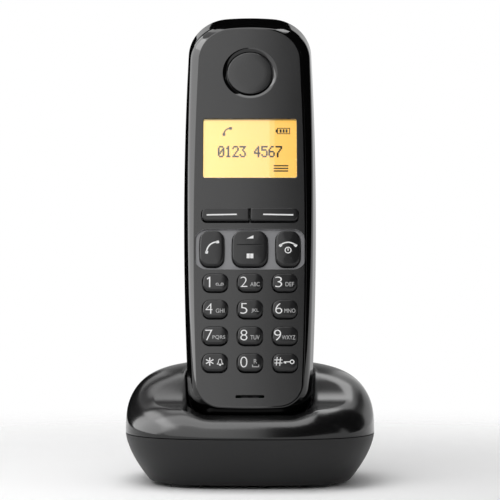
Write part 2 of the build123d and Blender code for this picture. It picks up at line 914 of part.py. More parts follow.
with BuildPart() as cover_cavity:
    add(dome_cavity)
    add(saddle_cavity, mode=Mode.SUBTRACT)
    add(cradle_outside, mode=Mode.SUBTRACT)
    with BuildSketch(Plane.XY.offset(dome_low)):
        with Locations(*base_screw_places):
            Circle(post_radius)
    extrude(amount=dome_rise, mode=Mode.SUBTRACT)

with BuildPart() as cradle_tub:
    add(cradle_outside)
    add(cradle, mode=Mode.SUBTRACT)
    split(bisect_by=Plane.XY.offset(dome_low), keep=Keep.BOTTOM)

# Top cover: dome cut to the lip and backrest, with the cradle sunk into it
with BuildPart() as base_top_cover:
    add(dome)
    add(saddle, mode=Mode.SUBTRACT)
    add(cradle, mode=Mode.SUBTRACT)
    dome_face = base_top_cover.faces().filter_by(GeomType.BSPLINE).sort_by(SortBy.AREA)[-1]
    rim_edges = dome_face.edges().filter_by(
        lambda edge: edge.bounding_box().min.Z > lip_height - seat_gap
        and saddle.distance_to(edge.position_at(0.5)) < touching
    )
    fillet(rim_edges, rim_rounding)
    mouth_edges = base_top_cover.edges().filter_by(
        lambda edge: edge.bounding_box().min.Z > lip_height - seat_gap
        and cradle.distance_to(edge.position_at(0.5)) < touching
        and cradle.distance_to(edge.position_at(0.25)) < touching
    )
    chamfer(mouth_edges, cradle_rim)
    add(cover_cavity.part, mode=Mode.SUBTRACT)
    add(cradle_tub.part)
    with BuildSketch(end_plane.offset(-seat_gap)):
        with Locations(*pad_places):
            Rectangle(strip_width + 2 * strip_clearance, strip_thick + 2 * strip_clearance)
    extrude(amount=-2 * cradle_wall, mode=Mode.SUBTRACT)
    with BuildSketch(Plane.XY.offset(dome_low)):
        with Locations(*base_screw_places):
            Circle(base_screw_shank / 2)
    extrude(amount=base_screw_bite, mode=Mode.SUBTRACT)
base_top_cover.part.label = "base_top_cover"
export_step(base_top_cover.part, "parts/base_top_cover.step")

# Places inside the base
jack_offset = paging_width / 2 + jack_spacing + jack_width / 2
base_board_width = 2 * (jack_offset + jack_width / 2 + base_board_side_room)
base_board_front = base_board_front_room - base_half_depth
base_board_rear = base_half_depth - base_board_rear_room
base_board_middle = (base_board_front + base_board_rear) / 2
base_board_length = base_board_rear - base_board_front
standoff_places = [
    (side * (base_board_width / 2 - standoff_inset), place)
    for side in (-1, 1)
    for place in (base_board_front + standoff_inset, base_board_rear - standoff_inset)
]
foot_places = [
    (side * (base_half_width - foot_inset_x), end * (base_half_depth - foot_inset_y))
    for side in (-1, 1)
    for end in (-1, 1)
]
screw_seat_height = tub_top - base_screw_seat
jack_middle = base_board_top + jack_height / 2
jack_face = rear_wall(jack_offset + jack_width / 2, base_board_top, 0) - jack_recess
flange_reach = paging_width / 2 + paging_flange
flange_foot = jack_middle - paging_height / 2 - paging_flange
paging_front = rear_wall(flange_reach, flange_foot, base_wall) - paging_play
paging_back = paging_front - paging_flange_thick
plunger_tip = paging_back - paging_travel - key_play


def rear_facing(place):
    """A plane facing the front at a distance behind the middle, read across and up."""
    return Plane.XZ.offset(-place)


def rim_ring(outer_inset, inner_inset, low, high):
    """A ring that follows the base's outline between two heights."""
    with BuildPart() as ring:
        with BuildSketch(Plane.XY.offset(low)):
            add(base_outline(base_half_width - outer_inset, base_half_depth - outer_inset, -pi / 2))
            add(
                base_outline(base_half_width - inner_inset, base_half_depth - inner_inset, -pi / 2),
                mode=Mode.SUBTRACT,
            )
        extrude(amount=high - low)
    return ring.part


tub = tub_body(0, floor_height)
tub_hollow = tub_body(base_wall, floor_top)
tongue_inside = base_wall + tongue_play + tongue_thick
tongue_foot = rim_ring(base_wall / 2, tongue_inside, tub_top - tongue_root, tub_top)
tongue = rim_ring(base_wall + tongue_play, tongue_inside, tub_top, dome_low + tongue_rise)

with BuildPart() as tub_cavity:
    add(tub_hollow)
    with BuildSketch(Plane.XY.offset(floor_top)):
        with Locations(*base_screw_places):
            Circle(post_radius)
    extrude(amount=tub_top - floor_top, mode=Mode.SUBTRACT)
    with BuildSketch(Plane.XY.offset(floor_top)):
        with Locations(*standoff_places):
            Circle(standoff_radius)
    extrude(amount=base_board_rise, mode=Mode.SUBTRACT)

# Bottom cover: tapered tub with a tongue at the seam, screw posts and rear windows
with BuildPart() as base_bottom_cover:
    add(tub)
    fillet(base_bottom_cover.faces().sort_by(Axis.Z)[0].edges(), floor_edge)
    add(tub_cavity.part, mode=Mode.SUBTRACT)
    add(tongue_foot)
    add(tongue)
    with BuildSketch(Plane.XY.offset(floor_height)):
        with Locations(*base_screw_places):
            Circle(base_screw_head / 2 + key_play)
    extrude(amount=screw_seat_height - floor_height, mode=Mode.SUBTRACT)
    with BuildSketch(Plane.XY.offset(screw_seat_height)):
        with Locations(*base_screw_places):
            Circle(base_screw_shank / 2 + key_play)
    extrude(amount=base_screw_seat, mode=Mode.SUBTRACT)
    with BuildSketch(Plane.XY.offset(floor_height)):
        with Locations(*foot_places):
            Circle(foot_diameter / 2)
    extrude(amount=foot_sunk, mode=Mode.SUBTRACT)
    with BuildSketch(rear_facing(jack_face - base_wall - jack_recess)):
        with Locations((-jack_offset, jack_middle), (jack_offset, jack_middle)):
            Rectangle(jack_width + 2 * jack_clearance, jack_height + 2 * jack_clearance)
        with Locations((0, jack_middle)):
            SlotOverall(paging_width + 2 * jack_clearance, paging_height + 2 * jack_clearance)
    extrude(amount=-base_half_depth, mode=Mode.SUBTRACT)
base_bottom_cover.part.label = "base_bottom_cover"
export_step(base_bottom_cover.part, "parts/base_bottom_cover.step")

with BuildPart() as base_pcb:
    with BuildSketch(Plane.XY.offset(base_board_low)):
        with Locations((0, base_board_middle)):
            RectangleRounded(base_board_width, base_board_length, base_board_corner)
    extrude(amount=base_board_thick)
base_pcb.part.label = "base_pcb"
export_step(base_pcb.part, "parts/base_pcb.step")

with BuildPart() as base_shield_can:
    with BuildSketch(Plane.XY.offset(base_board_top)):
        with Locations((0, base_can_place)):
            RectangleRounded(can_width, can_height, can_corner)
    extrude(amount=can_thick)
base_shield_can.part.label = "base_shield_can"
export_step(base_shield_can.part, "parts/base_shield_can.step")

# Spring strips: a foot on the board, then straight up through the cradle floor to each pad
strip_low = base_board_top + strip_thick / 2
strip_tip = end_plane.from_local_coords((0, pad_middle, pad_sunk - strip_gap))
strip_root = strip_tip.Y - (strip_tip.Z - strip_low) * tan(lean)
with BuildPart() as charging_contacts:
    for side in (-1, 1):
        with BuildSketch(Plane.YZ.offset(side * pad_offset)):
            with BuildLine():
                Polyline(
                    (strip_root + strip_foot, strip_low),
                    (strip_root, strip_low),
                    (strip_tip.Y, strip_tip.Z),
                )
            trace(line_width=strip_thick)
        extrude(amount=strip_width / 2, both=True)
charging_contacts.part.label = "charging_contacts"
export_step(charging_contacts.part, "parts/charging_contacts.step")

for name, side, mouth_width in (
    ("line_jack", -1, jack_mouth_width),
    ("power_jack", 1, power_mouth_width),
):
    with BuildPart() as jack:
        with BuildSketch(rear_facing(jack_face)):
            with Locations((side * jack_offset, jack_middle)):
                Rectangle(jack_width, jack_height)
        extrude(amount=jack_length)
        with BuildSketch(rear_facing(jack_face)):
            with Locations((side * jack_offset, jack_middle)):
                Rectangle(mouth_width, jack_mouth_height)
            with Locations((side * jack_offset, jack_middle - jack_mouth_height / 2)):
                Rectangle(jack_latch_width, 2 * jack_latch_height)
        extrude(amount=jack_mouth_depth, mode=Mode.SUBTRACT)
    jack.part.label = name
    export_step(jack.part, f"parts/{name}.step")

# Paging key: a pill that follows the rear wall, held by a flange behind it
with BuildPart() as paging_pill:
    with BuildSketch(rear_facing(paging_front)):
        with Locations((0, jack_middle)):
            SlotOverall(paging_width, paging_height)
    extrude(amount=-base_half_depth)
    add(tub_body(-paging_proud, floor_height), mode=Mode.INTERSECT)
with BuildPart() as paging_button:
    with BuildSketch(rear_facing(paging_front)):
        with Locations((0, jack_middle)):
            SlotOverall(paging_width + 2 * paging_flange, paging_height + 2 * paging_flange)
    extrude(amount=paging_flange_thick)
    add(paging_pill.part)
paging_button.part.label = "paging_button"
export_step(paging_button.part, "parts/paging_button.step")

with BuildPart() as paging_switch:
    with BuildSketch(rear_facing(plunger_tip)):
        with Locations((0, jack_middle)):
            Circle(plunger_diameter / 2)
    extrude(amount=plunger_length)
    with BuildSketch(rear_facing(plunger_tip - plunger_length)):
        with Locations((0, (base_board_top + jack_middle + switch_width / 2) / 2)):
            Rectangle(switch_width, jack_middle + switch_width / 2 - base_board_top)
    extrude(amount=switch_length)
paging_switch.part.label = "paging_switch"
export_step(paging_switch.part, "parts/paging_switch.step")

with BuildPart() as rubber_feet:
    with BuildSketch():
        with Locations(*foot_places):
            Circle(foot_diameter / 2)
    extrude(amount=foot_thick)
rubber_feet.part.label = "rubber_feet"
export_step(rubber_feet.part, "parts/rubber_feet.step")

with BuildPart() as base_screws:
    with BuildSketch(Plane.XY.offset(screw_seat_height)):
        with Locations(*base_screw_places):
            Circle(base_screw_head / 2)
    extrude(amount=-base_screw_head_thick)
    with BuildSketch(Plane.XY.offset(screw_seat_height)):
        with Locations(*base_screw_places):
            Circle(base_screw_shank / 2 - key_play)
    extrude(amount=base_screw_seat + seam_gap + base_screw_bite - base_screw_tip)
base_screws.part.label = "base_screws"
export_step(base_screws.part, "parts/base_screws.step")
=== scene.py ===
# %% [markdown]
# # A cordless phone standing in its charging base
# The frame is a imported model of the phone: every piece at its real size, in metres, with the
# bodies that move. This lesson dresses that frame. Smooth shapes that a camera looks at closely
# are made again as fine meshes on the same sizes, and every piece gets a node material.

# %% Load the frame
import json
import math

import bpy
import bmesh
import numpy as np
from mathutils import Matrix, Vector

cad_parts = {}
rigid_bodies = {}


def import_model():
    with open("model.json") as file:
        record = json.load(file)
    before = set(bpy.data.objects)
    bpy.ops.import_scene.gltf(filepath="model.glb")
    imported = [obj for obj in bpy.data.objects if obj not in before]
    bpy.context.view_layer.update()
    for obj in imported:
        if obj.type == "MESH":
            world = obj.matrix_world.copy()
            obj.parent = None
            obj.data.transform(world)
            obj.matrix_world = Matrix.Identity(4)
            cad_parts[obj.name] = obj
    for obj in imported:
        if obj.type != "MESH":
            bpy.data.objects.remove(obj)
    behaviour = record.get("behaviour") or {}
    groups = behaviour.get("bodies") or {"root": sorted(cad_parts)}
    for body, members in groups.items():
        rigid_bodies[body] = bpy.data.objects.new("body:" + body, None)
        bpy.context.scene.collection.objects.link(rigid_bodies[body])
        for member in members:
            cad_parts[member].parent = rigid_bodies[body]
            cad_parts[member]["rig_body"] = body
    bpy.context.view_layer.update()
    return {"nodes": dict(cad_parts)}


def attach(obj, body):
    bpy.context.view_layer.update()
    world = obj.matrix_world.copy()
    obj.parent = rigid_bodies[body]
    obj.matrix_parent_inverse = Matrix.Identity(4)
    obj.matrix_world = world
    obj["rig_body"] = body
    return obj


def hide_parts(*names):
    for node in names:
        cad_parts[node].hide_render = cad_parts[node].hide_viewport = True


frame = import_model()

nodes = frame["nodes"]

# %% [markdown]
# ## The handset's own axes
# The handset leans back in its cradle, so its pieces are easier to draw flat and then to lay on
# it. A place on the handset is written as across, up and out: millimetres across the face, up
# from the bottom end, and out of the face. One function turns that into the frame's metres.

# %% Places on the handset
LEAN = math.radians(20.0)
SEAT_BACK, SEAT_HIGH = -23.3, 23.8


def on_handset(across, up, out):
    """Points of the handset, in millimetres along its own axes, as rows of frame metres."""
    across, up, out = np.broadcast_arrays(np.asarray(across, float), up, out)
    y = SEAT_BACK + up * math.sin(LEAN) - out * math.cos(LEAN)
    z = SEAT_HIGH + up * math.cos(LEAN) + out * math.sin(LEAN)
    return np.stack([across, y, z], axis=-1) / 1000.0


def lay(rows, out):
    """Flat rows of across and up, laid on the handset at a height above its face."""
    return on_handset(rows[:, 0], rows[:, 1], out)


print("top of the handset:", on_handset(0, 152.2, -8))

# %% [markdown]
# ## From points to a piece
# A mesh is a list of points and a list of faces. Many pieces here are strips of rings: each ring
# has the same number of points, and neighbouring rings are joined by quads. The helper below
# makes such a strip, and another one turns a finished mesh into a piece that rides on a body.

# %% Mesh helpers
def show(name, data):
    """A new object in the scene."""
    item = bpy.data.objects.new(name, data)
    bpy.context.scene.collection.objects.link(item)
    return item


def evaluated_mesh(item):
    """The mesh that an object has after its modifiers."""
    return bpy.data.meshes.new_from_object(item.evaluated_get(bpy.context.evaluated_depsgraph_get()))


class MeshParts:
    """Points and faces that are gathered before they become one mesh."""

    def __init__(self):
        self.points, self.faces, self.slots, self.smooth = [], [], [], []

    def add_points(self, rows):
        start = len(self.points)
        self.points.extend(map(tuple, np.asarray(rows, float).reshape(-1, 3)))
        return start

    def add_face(self, corners, slot, smooth=True):
        self.faces.append(tuple(corners))
        self.slots.append(slot)
        self.smooth.append(smooth)

    def add_rings(self, rings, slot=0, closed=False):
        """Rings of equal length, in order, joined by quads, with a flat fan on each closed end."""
        count = len(rings[0])
        after = [(i + 1) % count for i in range(count)]
        starts = [self.add_points(ring) for ring in rings]
        for near, far in zip(starts, starts[1:]):
            for i, j in enumerate(after):
                self.add_face((near + i, near + j, far + j, far + i), slot)
        for end in (0, -1) if closed else ():
            middle = self.add_points(np.asarray(rings[end]).mean(axis=0))
            for i, j in enumerate(after):
                self.add_face((starts[end] + i, starts[end] + j, middle), slot, False)

    def add_flat(self, mesh, slot, out, shift=(0.0, 0.0)):
        """A flat Blender mesh, moved by a shift and laid on the handset."""
        rows = np.array([v.co for v in mesh.vertices], float).reshape(-1, 3)
        start = self.add_points(lay(rows[:, :2] + shift, out))
        for polygon in mesh.polygons:
            self.add_face([start + i for i in polygon.vertices], slot, False)


def make_piece(name, parts, materials, body, instead_of=(), sharp=40.0, outward=True):
    """Turns gathered parts into one object that rides on a body and stands for CAD nodes."""
    mesh = bpy.data.meshes.new(name)
    mesh.from_pydata(parts.points, [], parts.faces)
    for polygon, index, smooth in zip(mesh.polygons, parts.slots, parts.smooth):
        polygon.material_index = index
        polygon.use_smooth = smooth
    tidy_mesh(mesh, sharp, outward)
    return place_piece(name, mesh, materials, body, instead_of)


def tidy_mesh(mesh, sharp, outward=True):
    """Joins doubled points, points the faces outwards and keeps sharp edges sharp."""
    work = bmesh.new()
    work.from_mesh(mesh)
    bmesh.ops.remove_doubles(work, verts=work.verts, dist=1e-6)
    bmesh.ops.dissolve_degenerate(work, dist=1e-7, edges=work.edges)
    if outward:
        bmesh.ops.recalc_face_normals(work, faces=work.faces)
    limit = math.radians(sharp)
    for edge in work.edges:
        edge.smooth = len(edge.link_faces) == 2 and edge.calc_face_angle(0.0) < limit
    work.to_mesh(mesh)
    work.free()
    mesh.update()


def place_piece(name, mesh, materials, body, instead_of=()):
    """Gives a mesh its materials, its body and the nodes that it stands for."""
    if mesh.materials:
        mesh.materials.clear()
    for material in materials:
        mesh.materials.append(material)
    piece = show(name, mesh)
    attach(piece, body)
    if instead_of:
        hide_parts(*instead_of)
    return piece


def smooth_node(node, material):
    """A smooth copy of a CAD node: its loose triangles are joined, and it stands for the node."""
    mesh = nodes[node].data.copy()
    mesh.shade_smooth()
    tidy_mesh(mesh, 30.0, outward=False)
    return place_piece(node + "_smooth", mesh, [material], nodes[node]["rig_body"], (node,))


# %% [markdown]
# ## Fine grain, shared by the plastics
# Moulded plastic is never one even colour: it has a fine spark-eroded grain, a slow mottle from
# the moulding and faint smears from hands. These three are one node group, so that each plastic
# places it with its own scale and reads a height for its bump and two masks. A helper makes each
# node in one call: an input gets either a plain value or a link from another node's output.

# %% A node group for moulded plastic
def set_inputs(tree, node, values):
    """Sets inputs by name or number, to a value, an output or a node, which means its first output."""
    for name, value in values.items():
        if isinstance(value, bpy.types.Node):
            value = next(output for output in value.outputs if output.enabled)
        if isinstance(value, bpy.types.NodeSocket):
            tree.links.new(value, node.inputs[name])
        else:
            node.inputs[name].default_value = value


def add_node(tree, kind, values=None, **settings):
    """A new node with its settings, and then its inputs."""
    node = tree.nodes.new(kind)
    for name, value in settings.items():
        setattr(node, name, value)
    set_inputs(tree, node, values or {})
    return node


def object_place(tree, axis=None):
    """The object's own coordinates, or one axis of them."""
    place = add_node(tree, "ShaderNodeTexCoord").outputs["Object"]
    return add_node(tree, "ShaderNodeSeparateXYZ", {"Vector": place}).outputs[axis] if axis else place


def ramp(tree, value, span=(0.0, 1.0), result=(0.0, 1.0), **settings):
    """A span of a value, mapped onto a range of results."""
    return add_node(tree, "ShaderNodeMapRange", {
        "Value": value, "From Min": span[0], "From Max": span[1],
        "To Min": result[0], "To Max": result[1]}, **settings)


def make_grain_group():
    tree = bpy.data.node_groups.new("moulded_grain", "ShaderNodeTree")
    for label, way in (("Grain Scale", "INPUT"), ("Mottle Scale", "INPUT"),
                       ("Grain", "OUTPUT"), ("Mottle", "OUTPUT"), ("Smear", "OUTPUT")):
        tree.interface.new_socket(label, in_out=way, socket_type="NodeSocketFloat")
    scales = add_node(tree, "NodeGroupInput").outputs
    place = object_place(tree)
    stretch = add_node(tree, "ShaderNodeMapping", {"Vector": place, "Scale": (1.0, 0.35, 0.22)})
    grain = add_node(tree, "ShaderNodeTexNoise", {
        "Vector": place, "Scale": scales["Grain Scale"], "Detail": 2.0})
    mottle = add_node(tree, "ShaderNodeTexNoise", {
        "Vector": place, "Scale": scales["Mottle Scale"], "Detail": 3.0})
    smear = add_node(tree, "ShaderNodeTexNoise", {
        "Vector": stretch, "Scale": scales["Mottle Scale"],
        "Detail": 4.0, "Distortion": 0.6})
    add_node(tree, "NodeGroupOutput", {
        "Grain": grain, "Mottle": mottle, "Smear": smear})
    return tree


grain_group = make_grain_group()
print("group:", grain_group.name)

# %% [markdown]
# ## Materials
# The phone is black all over, and what tells its parts apart is gloss. The handset's bevel is
# polished, the base's cover has a softer gloss, the face is a fine satin and the tub is rougher.
# Each material reads the group above: its mottle tints the colour, its smear moves the roughness
# and its grain makes a slight bump.

# %% Plastics, rubber and metal
GRAIN_DEEP, SMEAR_SPAN = 2e-5, (0.3, 0.7)


def new_material(name):
    """A material, its node tree and its shader."""
    material = bpy.data.materials.new(name)
    material.use_nodes = True
    return material, material.node_tree, material.node_tree.nodes["Principled BSDF"]


def grain_node(tree, grain, mottle):
    """The outputs of the grain group, placed with its own scales."""
    scales = {"Grain Scale": grain, "Mottle Scale": mottle}
    return add_node(tree, "ShaderNodeGroup", scales, node_tree=grain_group).outputs


def surface(name, dark, light, smooth, rough, grain=900.0, mottle=60.0, bump=0.0, metallic=0.0, ior=1.5):
    """A material between two colours and two roughness values, with a grain for its bump."""
    material, tree, shader = new_material(name)
    group = grain_node(tree, grain, mottle)
    tint = add_node(tree, "ShaderNodeMix", {
        "A": (*dark, 1.0), "B": (*light, 1.0), "Factor": group["Mottle"]}, data_type="RGBA")
    worn = ramp(tree, group["Smear"], SMEAR_SPAN, (smooth, rough))
    set_inputs(tree, shader, {
        "Base Color": tint, "Roughness": worn,
        "Metallic": metallic, "IOR": ior})
    if bump > 0:
        relief = add_node(tree, "ShaderNodeBump", {
            "Strength": bump, "Distance": GRAIN_DEEP, "Height": group["Grain"]})
        set_inputs(tree, shader, {"Normal": relief})
    return material


def grey(level, blue=1.04):
    return (level, level, level * blue)


gloss_black = surface("gloss_black", grey(0.004), grey(0.005), 0.17, 0.20, mottle=30.0)
bevel_black = surface("bevel_black", grey(0.0015), grey(0.0025), 0.04, 0.07, mottle=40.0)
face_satin = surface("face_satin", grey(0.009), grey(0.011), 0.20, 0.24, 5200.0, bump=0.08)
tub_satin = surface("tub_satin", grey(0.012), grey(0.015), 0.4, 0.5, 4200.0, bump=0.15, ior=1.38)
back_satin = surface("back_satin", grey(0.024), grey(0.030), 0.34, 0.44, 4200.0, bump=0.15)
key_black = surface("key_black", grey(0.010), grey(0.013), 0.16, 0.22, 3000.0, bump=0.03, ior=1.4)
tray_grey = surface("tray_grey", grey(0.20), grey(0.23), 0.3, 0.38, 3000.0, bump=0.06)
socket_black = surface("socket_black", grey(0.016), grey(0.022), 0.38, 0.5, 3000.0, bump=0.12)
foot_rubber = surface("foot_rubber", grey(0.012), grey(0.018), 0.7, 0.85, 2200.0, bump=0.35)
mat_rubber = surface("mat_rubber", grey(0.05), grey(0.065), 0.6, 0.75, 2200.0, bump=0.3)
board_green = surface("board_green", (0.012, 0.07, 0.03), (0.02, 0.1, 0.045), 0.3, 0.42, mottle=300.0)
tinned_steel = surface("tinned_steel", grey(0.55), grey(0.66), 0.25, 0.4, metallic=1.0, bump=0.05)
zinc_steel = surface("zinc_steel", grey(0.42), grey(0.52), 0.28, 0.42, metallic=1.0, bump=0.05)
contact_metal = surface("contact_metal", (0.58, 0.52, 0.4), (0.68, 0.62, 0.5), 0.22, 0.35, metallic=1.0)
cell_wrap = surface("cell_wrap", (0.05, 0.12, 0.08), (0.07, 0.16, 0.1), 0.25, 0.35, mottle=80.0)
white_ink = surface("white_ink", grey(0.80, 1.0), grey(0.88, 1.0), 0.42, 0.55, mottle=500.0)
grey_ink = surface("grey_ink", grey(0.45, 1.0), grey(0.52, 1.0), 0.42, 0.55, mottle=500.0)
lcd_ink = surface("lcd_ink", (0.02, 0.018, 0.012), (0.035, 0.03, 0.02), 0.4, 0.5, mottle=900.0)
guide_amber = surface("guide_amber", (0.8, 0.42, 0.08), (0.9, 0.5, 0.12), 0.3, 0.4, mottle=200.0)
print("materials:", len(bpy.data.materials))

# %% [markdown]
# ## Outlines of the handset
# The face, the shoulder of the bevel and the widest line all have one kind of outline: two long
# bulged sides, two crowned ends and round corners. Each side is a circle through three points,
# and a corner of a given radius touches two such circles, so its centre is where the circles
# drawn smaller by that radius cross.

# %% A long outline with round corners
CROWN_TOP, CROWN_LOW = 2.4, 0.9
END_POINTS, CORNER_POINTS, SIDE_POINTS = 14, 20, 60


def circle_through(a, b, c):
    """Centre and radius of the circle through three points."""
    a, b, c = (np.asarray(p, float) for p in (a, b, c))
    rows = 2 * np.array([b - a, c - a])
    centre = np.linalg.solve(rows, [b @ b - a @ a, c @ c - a @ a])
    return centre, float(np.linalg.norm(a - centre))


def crossing(c1, r1, c2, r2, near):
    """The crossing of two circles that lies nearest to a point."""
    between = c2 - c1
    d = np.linalg.norm(between)
    along = (r1**2 - r2**2 + d**2) / (2 * d)
    side = math.sqrt(max(r1**2 - along**2, 0.0))
    middle = c1 + between * along / d
    normal = np.array([-between[1], between[0]]) / d
    return min((middle + normal * side, middle - normal * side), key=lambda p: np.linalg.norm(p - near))


def arc(centre, radius, start, end, count):
    """Points on a circle from one point to another the short way round, without the last."""
    a = math.atan2(*(start - centre)[::-1])
    b = math.atan2(*(end - centre)[::-1])
    b += round((a - b) / (2 * math.pi)) * 2 * math.pi
    angles = a + (b - a) * np.arange(count) / count
    return centre + radius * np.stack([np.cos(angles), np.sin(angles)], axis=1)


def touch(centre, radius, point):
    """Where the line from a circle's centre through a point meets the circle."""
    return centre + (point - centre) / np.linalg.norm(point - centre) * radius


def long_outline(half_middle, half_top, half_low, low, high, radius_top, radius_low, inset=0.0):
    """The outline as points, counter-clockwise from the middle of the bottom end."""
    middle = (low + high) / 2
    top_corner = np.array([half_top - inset, high - CROWN_TOP - inset])
    low_corner = np.array([half_low - inset, low + CROWN_LOW + inset])
    side_c, side_r = circle_through(low_corner, (half_middle - inset, middle), top_corner)
    top_c, top_r = circle_through(top_corner, (0, high - inset), top_corner * (-1, 1))
    low_c, low_r = circle_through(low_corner, (0, low + inset), low_corner * (-1, 1))
    r_top, r_low = radius_top - inset, radius_low - inset
    f_top = crossing(side_c, side_r - r_top, top_c, top_r - r_top, top_corner)
    f_low = crossing(side_c, side_r - r_low, low_c, low_r - r_low, low_corner)
    low_end, side_low = touch(low_c, low_r, f_low), touch(side_c, side_r, f_low)
    side_top, top_end = touch(side_c, side_r, f_top), touch(top_c, top_r, f_top)
    right = np.concatenate([
        arc(low_c, low_r, np.array([0.0, low + inset]), low_end, END_POINTS),
        arc(f_low, r_low, low_end, side_low, CORNER_POINTS),
        arc(side_c, side_r, side_low, side_top, SIDE_POINTS),
        arc(f_top, r_top, side_top, top_end, CORNER_POINTS),
        arc(top_c, top_r, top_end, np.array([0.0, high - inset]), END_POINTS),
        [[0.0, high - inset]],
    ])
    left = right[1:-1][::-1] * (-1, 1)
    return np.concatenate([right, left])


FACE = (19.6, 17.9, 17.9, 3.2, 144.7, 12.6, 8.6)
SHOULDER = (22.0, 21.2, 19.4, 1.1, 146.9, 13.8, 9.8)
GIRTH = (23.25, 21.6, 20.65, 0.0, 152.2, 15.0, 11.0)
face_line, shoulder_line, girth_line = (long_outline(*sizes) for sizes in (FACE, SHOULDER, GIRTH))
print("outline points:", len(face_line))

# %% [markdown]
# ## The front shell
# The front shell is a satin face with a polished bevel round it, and a side band down to the
# parting line. The bevel is a strip of rings between the three outlines, with its two edges
# rounded a little, because a real edge always catches a line of light. The face inside is a
# flat curve with holes, which Blender fills by itself.

# %% Rounded holes and flat fills
CORNER_STEPS, SIDE_RUNS, BEND_STEPS = 7, 4, 8


def rounded_rectangle(across, up, width, height, corner, barrel=0.0):
    """A rounded rectangle as points, counter-clockwise, its ends drawn in by a barrel share."""
    points = []
    for turn, (sx, sy) in enumerate(((1, -1), (1, 1), (-1, 1), (-1, -1))):
        centre = (sx * (width / 2 - corner), sy * (height / 2 - corner))
        for step in range(CORNER_STEPS + 1):
            angle = math.radians(-90 + 90 * turn + 90 * step / CORNER_STEPS)
            points.append((centre[0] + corner * math.cos(angle), centre[1] + corner * math.sin(angle)))
        start = np.array(points[-1])
        heading = math.radians(90 * turn)
        reach = (height if turn % 2 == 0 else width) - 2 * corner
        ahead = np.array([-math.sin(heading), math.cos(heading)]) * reach
        points.extend(start + ahead * run / SIDE_RUNS for run in range(1, SIDE_RUNS))
    rows = np.array(points)
    rows[:, 0] *= 1 - barrel * (2 * rows[:, 1] / height) ** 2
    return rows + (across, up)


def ring_points(across, up, radius, count):
    angles = np.arange(count) / count * 2 * math.pi
    return np.stack([across + radius * np.cos(angles), up + radius * np.sin(angles)], axis=1)


def mesh_from(data):
    """The mesh of a curve or a text, which are then removed."""
    holder = show(data.name, data)
    mesh = evaluated_mesh(holder)
    bpy.data.objects.remove(holder)
    bpy.data.curves.remove(data)
    return mesh


def flat_fill(outlines):
    """A flat mesh inside the first outline and outside the others, by a filled 2-D curve."""
    curve = bpy.data.curves.new("fill", "CURVE")
    curve.dimensions = "2D"
    curve.fill_mode = "FRONT"
    for outline in outlines:
        spline = curve.splines.new("POLY")
        spline.points.add(len(outline) - 1)
        for point, (x, y) in zip(spline.points, outline):
            point.co = (x, y, 0.0, 1.0)
        spline.use_cyclic_u = True
    return mesh_from(curve)


def unit(rows):
    return rows / np.linalg.norm(rows, axis=1, keepdims=True)


def edge_normals(outline):
    """Unit normals that point out of a counter-clockwise outline."""
    along = np.roll(outline, -1, axis=0) - np.roll(outline, 1, axis=0)
    return unit(np.stack([along[:, 1], -along[:, 0]], axis=1))


def rounded_path(corners, setbacks):
    """A path of rings whose inner corners are replaced by short smooth bends."""
    rings = [corners[0]]
    for before, here, after, setback in zip(corners, corners[1:], corners[2:], setbacks):
        start = here + unit(before - here) * setback
        end = here + unit(after - here) * setback
        for t in np.arange(BEND_STEPS + 1) / BEND_STEPS:
            rings.append(start * (1 - t) ** 2 + here * 2 * t * (1 - t) + end * t**2)
    rings.append(corners[-1])
    return rings


# %% Sizes of the face's openings
KEY_GAP = 0.3
KEY_COLUMNS = (-12.0, 0.0, 12.0)
KEY_ROWS = (19.1, 28.7, 38.3, 47.9)
CALL_ROW, SOFT_ROW, DISPLAY_UP, EARPIECE_UP, MIC_UP = 60.4, 72.8, 98.2, 127.1, 7.3
# Keys: width, height, corner and barrel. Openings: width, height and corner.
NUMBER_KEY, SIDE_KEY, ROCKER = (8.5, 6.4, 2.4, 0.03), (8.5, 13.0, 2.9, 0.09), (12.3, 13.0, 3.2, 0.05)
SIDE_KEY_AT = 13.2
SOFT_OPENING, MIC_SLOT = (34.0, 5.3, 1.9), (9.8, 1.0, 0.47)
WINDOW, TRAY = (33.0, 22.4, 0.8), (38.3, 14.6, 4.2)
TRAY_DEEP, FACE_WALL, SHELL_WALL, FACE_EDGE = 0.6, 1.8, 1.8, 0.6
SHOULDER_OUT, GIRTH_OUT, BEVEL_BENDS = -2.2, -8.0, (0.3, 1.6)
EAR_CONE = [(9.8, 0.0), (9.7, -0.03), (8.55, -0.45), (8.45, -0.55), (8.45, -FACE_WALL)]
EAR_SIDES = 96
HOLE_EDGE, HOLE_BEND, HOLE_DROP = 0.12, 0.04, 0.03


def opening(across, up, key):
    """The outline of a key's opening: the key's own, wider by the gap all round."""
    width, height, corner, barrel = key
    grown = 2 * KEY_GAP
    return rounded_rectangle(across, up, width + grown, height + grown, corner + KEY_GAP, barrel)


number_places = [(x, y) for y in KEY_ROWS for x in KEY_COLUMNS]
tray_places = [(-SIDE_KEY_AT, SIDE_KEY), (0.0, ROCKER), (SIDE_KEY_AT, SIDE_KEY)]
print("key openings:", len(number_places), "in the face and", len(tray_places), "in the tray")

# %% Build the front shell
def with_out(outline, out):
    return np.column_stack([outline, np.full(len(outline), out)])


